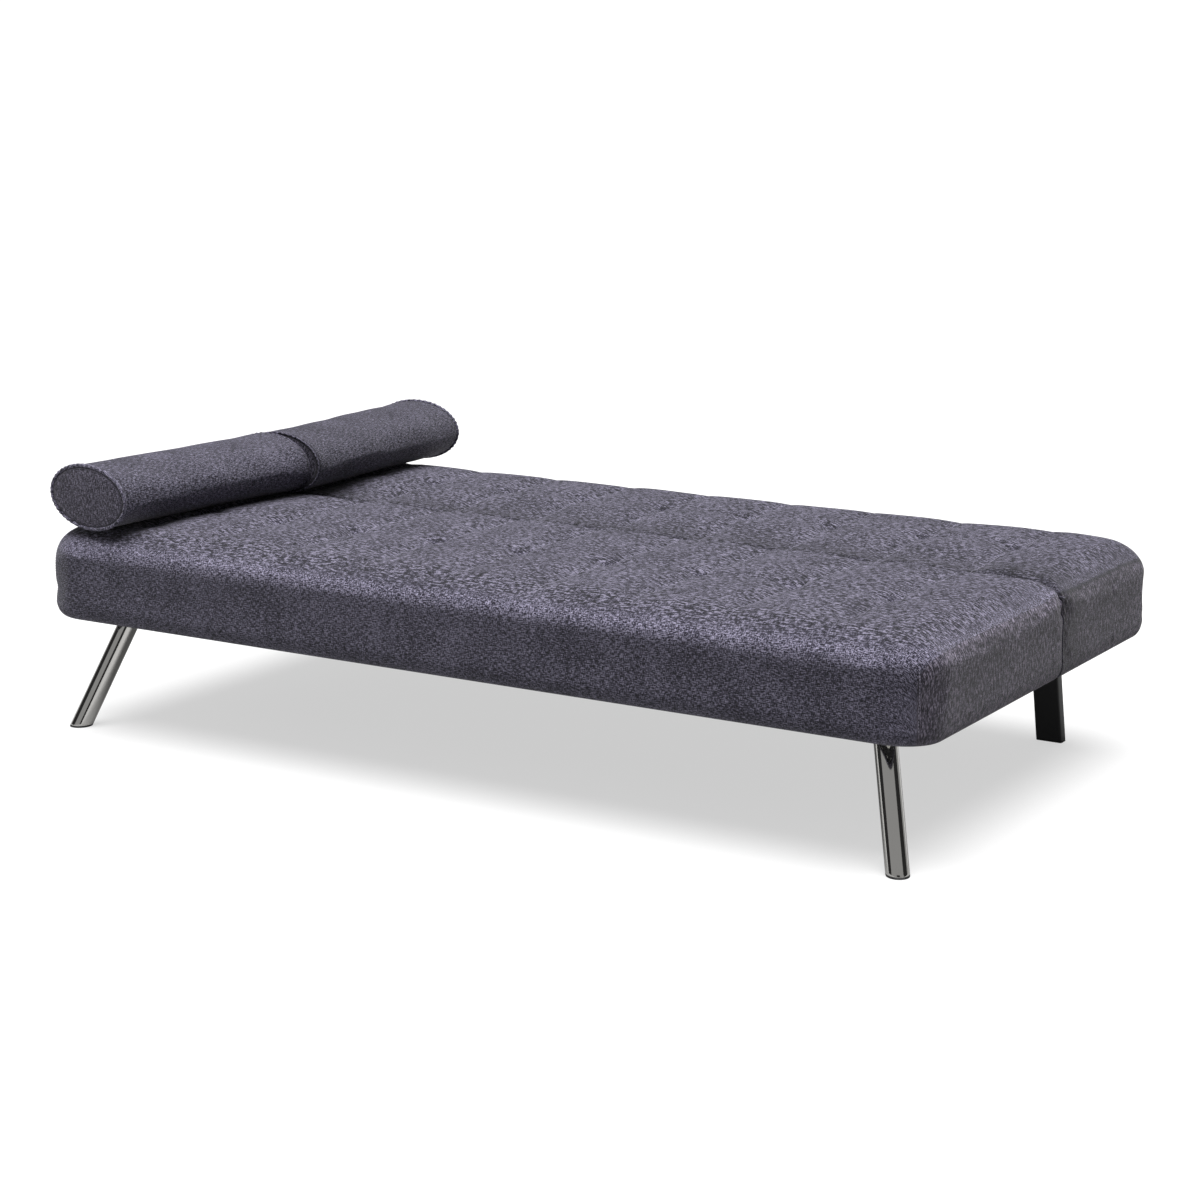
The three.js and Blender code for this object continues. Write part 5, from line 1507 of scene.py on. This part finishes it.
def buildFrontLeg(side, name, look):
    low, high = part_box(f"front_foot_cap_{name}")
    lean = (-side * look["lean"][0], look["lean"][1])
    around, radius, wall = look["around"], look["radius"], look["wall"]
    footX = side * (max(abs(low.x), abs(high.x)) - radius * math.hypot(1, lean[0]))
    footY = low.y + radius * math.hypot(1, lean[1])
    foot = (footX, footY)
    bottom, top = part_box(f"front_leg_{name}")[0].z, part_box(f"front_leg_{name}")[1].z
    inside = radius - wall
    profile = [(inside, bottom + 0.0004), (inside + wall / 2, bottom), (radius - 0.0003, bottom + 0.0002),
               (radius, bottom + 0.0008)]
    profile += [(radius, z) for z in np.linspace(bottom + 0.004, top - 0.004, 12)]
    profile += [(radius, top - 0.0006), (radius - 0.0004, top), (inside, top), (inside, (top + bottom) / 2)]
    verts = leveledProfile(foot, lean, around, profile)
    leg = meshObject(f"frontLeg{name.title()}", verts, latheFaces(len(profile), around, True))
    finished(leg, "seat", "chrome", chrome, (f"front_leg_{name}",))

    plug = inside - 0.0003
    thick, plugTop = look["capThickness"], look["capPlug"]
    profile = [(0.0006, 0.0), (radius * 0.6, 0.0), (radius - 0.0011, 0.0), (radius - 0.0003, 0.0003),
               (radius, 0.0011), (radius, thick - 0.0005), (radius - 0.0005, thick), (plug, thick),
               (plug, plugTop - 0.0015), (plug - 0.0012, plugTop), (0.0006, plugTop)]
    verts = leveledProfile(foot, lean, around, profile)
    faces = latheFaces(len(profile), around, False)
    faces.append(tuple(range(around - 1, -1, -1)))
    faces.append(tuple(range((len(profile) - 1) * around, len(profile) * around)))
    cap = meshObject(f"frontFootCap{name.title()}", verts, faces)
    finished(cap, "seat", "black_plastic", blackPlastic, (f"front_foot_cap_{name}",))

    centres = np.array(slantedRing(foot, lean, radius + look["weldRadius"] * 0.4, top - 0.0012, around))
    middle = centres.mean(axis=0)
    outward = centres - middle
    outward /= np.linalg.norm(outward, axis=1)[:, None]
    ripple = 1 + 0.16 * np.sin(np.arange(around) * 2 * math.pi * 14 / around)
    tubePoints, tubeFaces = ringTube(centres + outward * 0.0004 * ripple[:, None], outward, look["weldRadius"], 8)
    bead = meshObject(f"legWeld{name.title()}", tubePoints, tubeFaces)
    finished(bead, "seat", "chrome", weldSteel)

    low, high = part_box(f"front_leg_plate_{name}")
    underside = top + 0.0003
    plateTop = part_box("seat_cover")[0].z - 0.0003
    plate = roundedPlate(f"legPlate{name.title()}", low.x, high.x, low.y, high.y, underside, plateTop, 0.014,
                         look["plateEdge"])
    finished(plate, "seat", "chrome", chrome, (f"front_leg_plate_{name}",))
    inset = look["boltInset"]
    places = [(px, py, underside) for px in (low.x + inset, high.x - inset) for py in (low.y + inset, high.y - inset)]
    boltsAt(f"legBolts{name.title()}", places, (0, 0, -1), "seat", look)


for side, name in ((-1, "left"), (1, "right")):
    buildFrontLeg(side, name, legLook)


# The rear legs and the arms that carry them: black rectangular tubes with rounded corners
rearLook = {"corner": 0.0032, "wall": 0.0018, "armBottom": 0.1887, "armTop": 0.2087, "boltHead": 0.0072, "capLip": 0.0006}


def roundedOutline(width, depth, corner, steps=5):
    points = []
    for sx, sy, start in ((1, -1, -90), (1, 1, 0), (-1, 1, 90), (-1, -1, 180)):
        for k in range(steps + 1):
            angle = math.radians(start + k * 90 / steps)
            points.append((sx * (width / 2 - corner) + corner * math.cos(angle),
                           sy * (depth / 2 - corner) + corner * math.sin(angle)))
    return points


def buildRearLeg(name, look):
    legLow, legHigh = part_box(f"rear_leg_{name}")
    capLow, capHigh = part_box(f"rear_foot_cap_{name}")
    width = legHigh.x - legLow.x
    middleX = (legHigh.x + legLow.x) / 2
    lean = math.tan(math.radians(13.5))
    rise = legHigh.z - legLow.z
    depth = legHigh.y - legLow.y - rise * lean
    centreAt = lambda z: legHigh.y - depth / 2 - (z - legLow.z) * lean

    def ring(inset, corner, z):
        return [(middleX + px, centreAt(z) + py, z)
                for px, py in roundedOutline(width - 2 * inset, depth - 2 * inset, corner)]

    corner, wall = look["corner"], look["wall"]
    inner = max(corner - wall, 0.0008)
    rings = [ring(wall, inner, legLow.z), ring(0.0004, corner, legLow.z), ring(0, corner, legLow.z + 0.0005)]
    rings += [ring(0, corner, z) for z in np.linspace(legLow.z + 0.01, legHigh.z - 0.01, 6)]
    rings += [ring(0, corner, legHigh.z - 0.0005), ring(0.0004, corner, legHigh.z), ring(wall, inner, legHigh.z)]
    count = len(rings[0])
    leg = meshObject(f"rearLeg{name.title()}", [p for r in rings for p in r], latheFaces(len(rings), count, True))
    finished(leg, "seat", "black_steel", satinBlack, (f"rear_leg_{name}",))

    lip, plug = look["capLip"], wall + 0.0003
    capTop = capHigh.z
    rings = [ring(0.0012, corner, 0.0), ring(0.0003, corner, 0.0003), ring(0, corner, 0.0012),
             ring(0, corner, 0.0025), ring(lip, corner, 0.003), ring(plug, inner, 0.003), ring(plug, inner, capTop - 0.001),
             ring(plug + 0.001, inner, capTop)]
    faces = latheFaces(len(rings), count, False)
    faces.append(tuple(range(count - 1, -1, -1)))
    faces.append(tuple(range((len(rings) - 1) * count, len(rings) * count)))
    cap = meshObject(f"rearFootCap{name.title()}", [p for r in rings for p in r], faces)
    finished(cap, "seat", "black_plastic", blackPlastic, (f"rear_foot_cap_{name}",))

    # The arm, plugged at both ends, and the weld round the leg's top
    armLow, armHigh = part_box(f"rear_arm_{name}")
    height = look["armTop"] - look["armBottom"]
    middleZ = (look["armTop"] + look["armBottom"]) / 2

    def armRing(inset, y):
        return [(middleX + px, y, middleZ + pz)
                for px, pz in roundedOutline(width - 2 * inset, height - 2 * inset, corner)]

    ends = ((0.0022, armLow.y), (0.0008, armLow.y + 0.0004), (0.0006, armLow.y + 0.0016), (0.0, armLow.y + 0.0018))
    rings = [armRing(inset, y) for inset, y in ends]
    rings += [armRing(0, y) for y in np.linspace(armLow.y + 0.02, armHigh.y - 0.02, 10)]
    rings += [armRing(inset, armLow.y + armHigh.y - y) for inset, y in ends[::-1]]
    faces = latheFaces(len(rings), count, False)
    faces.append(tuple(range(count - 1, -1, -1)))
    faces.append(tuple(range((len(rings) - 1) * count, len(rings) * count)))
    arm = meshObject(f"rearArm{name.title()}", [p for r in rings for p in r], faces)
    finished(arm, "seat", "black_steel", satinBlack, (f"rear_arm_{name}",))
    top = legHigh.z - 0.0008
    centres = np.array([(middleX + px, centreAt(top) + py, top)
                        for px, py in roundedOutline(width + 0.0012, depth + 0.0012, corner + 0.0006, 8)])
    outward = centres - centres.mean(axis=0)
    outward /= np.linalg.norm(outward, axis=1)[:, None]
    tubePoints, tubeFaces = ringTube(centres, outward, 0.0019, 7)
    finished(meshObject(f"rearWeld{name.title()}", tubePoints, tubeFaces), "seat", "black_steel", satinBlack)
    places = [(middleX, y, look["armBottom"]) for y in (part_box("seat_centre_rail")[0].y + 0.011,
                                                      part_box("seat_rear_rail")[0].y + 0.011)]
    boltsAt(f"armBolts{name.title()}", places, (0, 0, -1), "seat", look, head=look["boltHead"], material=zinc)


for name in ("left", "right"):
    buildRearLeg(name, rearLook)


# The linings stretched under both halves, and the staples that hold them
liningLook = {"thickness": 0.0006, "sag": 0.0012, "corner": 0.051, "grid": 0.022, "stapleInset": 0.010,
              "staplePitch": 0.048, "stapleSize": (0.0098, 0.0012, 0.0007)}


def buildLining(name, nodeName, body, look, holes):
    low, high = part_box(nodeName)
    outerRounded = -1 if body == "seat" else 1  # which long side has the rounded corners
    corner = look["corner"]

    def outlineAt(inset):
        x0, x1, y0, y1 = low.x + inset, high.x - inset, low.y + inset, high.y - inset
        radius = corner - inset
        points = []
        for cx, cy, start in ((x1, y0, -90), (x1, y1, 0), (x0, y1, 90), (x0, y0, 180)):
            isRounded = (cy == y0) == (outerRounded < 0)
            if not isRounded:
                points.append((cx, cy))
                continue
            mx = cx - radius if cx == x1 else cx + radius
            my = cy + radius if cy == y0 else cy - radius
            for k in range(9):
                angle = math.radians(start + k * 90 / 8)
                points.append((mx + radius * math.cos(angle), my + radius * math.sin(angle)))
        return points

    outline = outlineAt(0)
    spaced = []
    for (ax, ay), (bx, by) in zip(outline, outline[1:] + outline[:1]):
        count = max(1, round(math.hypot(bx - ax, by - ay) / look["grid"]))
        spaced += [(ax + (bx - ax) * k / count, ay + (by - ay) * k / count) for k in range(count)]
    xs = np.arange(low.x + look["grid"], high.x - look["grid"] / 2, look["grid"])
    ys = np.arange(low.y + look["grid"], high.y - look["grid"] / 2, look["grid"])
    inside = []
    for gx in xs:
        for gy in ys:
            nearX = min(gx - low.x, high.x - gx)
            nearY = gy - low.y if outerRounded < 0 else high.y - gy
            cut = nearX < corner and nearY < corner and math.hypot(corner - nearX, corner - nearY) > corner - 0.006
            if not cut:
                inside.append((gx, gy))
    from mathutils.geometry import delaunay_2d_cdt
    count = len(spaced)
    flat = [Vector(point) for point in spaced + inside]
    edges = [(k, (k + 1) % count) for k in range(count)]
    places, _, faces, *_ = delaunay_2d_cdt(flat, edges, [list(range(count))], 1, 1e-6)
    middleX, middleY = (low.x + high.x) / 2, (low.y + high.y) / 2
    verts = []
    for point in places:
        edge = min(point.x - low.x, high.x - point.x, point.y - low.y, high.y - point.y)
        sag = look["sag"] * float(ease(edge / 0.12))
        wrinkle = 0.0003 * float(softNoise(point.x, point.y * 1.0, 0.12, 61)) * float(ease(edge / 0.05))
        verts.append((point.x, point.y, low.z + 0.0011 - sag + wrinkle))
    obj = meshObject(name, verts, faces, [liningMaterial])
    outwardFaces(obj)
    if obj.data.polygons[0].normal.z > 0:
        obj.data.flip_normals()
    solid = obj.modifiers.new("thickness", "SOLIDIFY")
    solid.thickness = look["thickness"]
    solid.offset = -1
    applied(obj)
    smoothShade(obj, 50)
    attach(obj, body)
    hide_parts(nodeName)
    stapleLine = [(px, py, low.z - 0.0001 + 0.0003) for px, py in outlineAt(look["stapleInset"])]
    grown(name + "Staples", [stapleLine + stapleLine[:1]], stapleRun, body,
          {"Pitch": look["staplePitch"], "Form size": look["stapleSize"], "Material": zinc})


buildLining("seatLining", "seat_dust_cover", "seat", liningLook, True)
buildLining("backLining", "back_dust_cover", "backrest", liningLook, False)
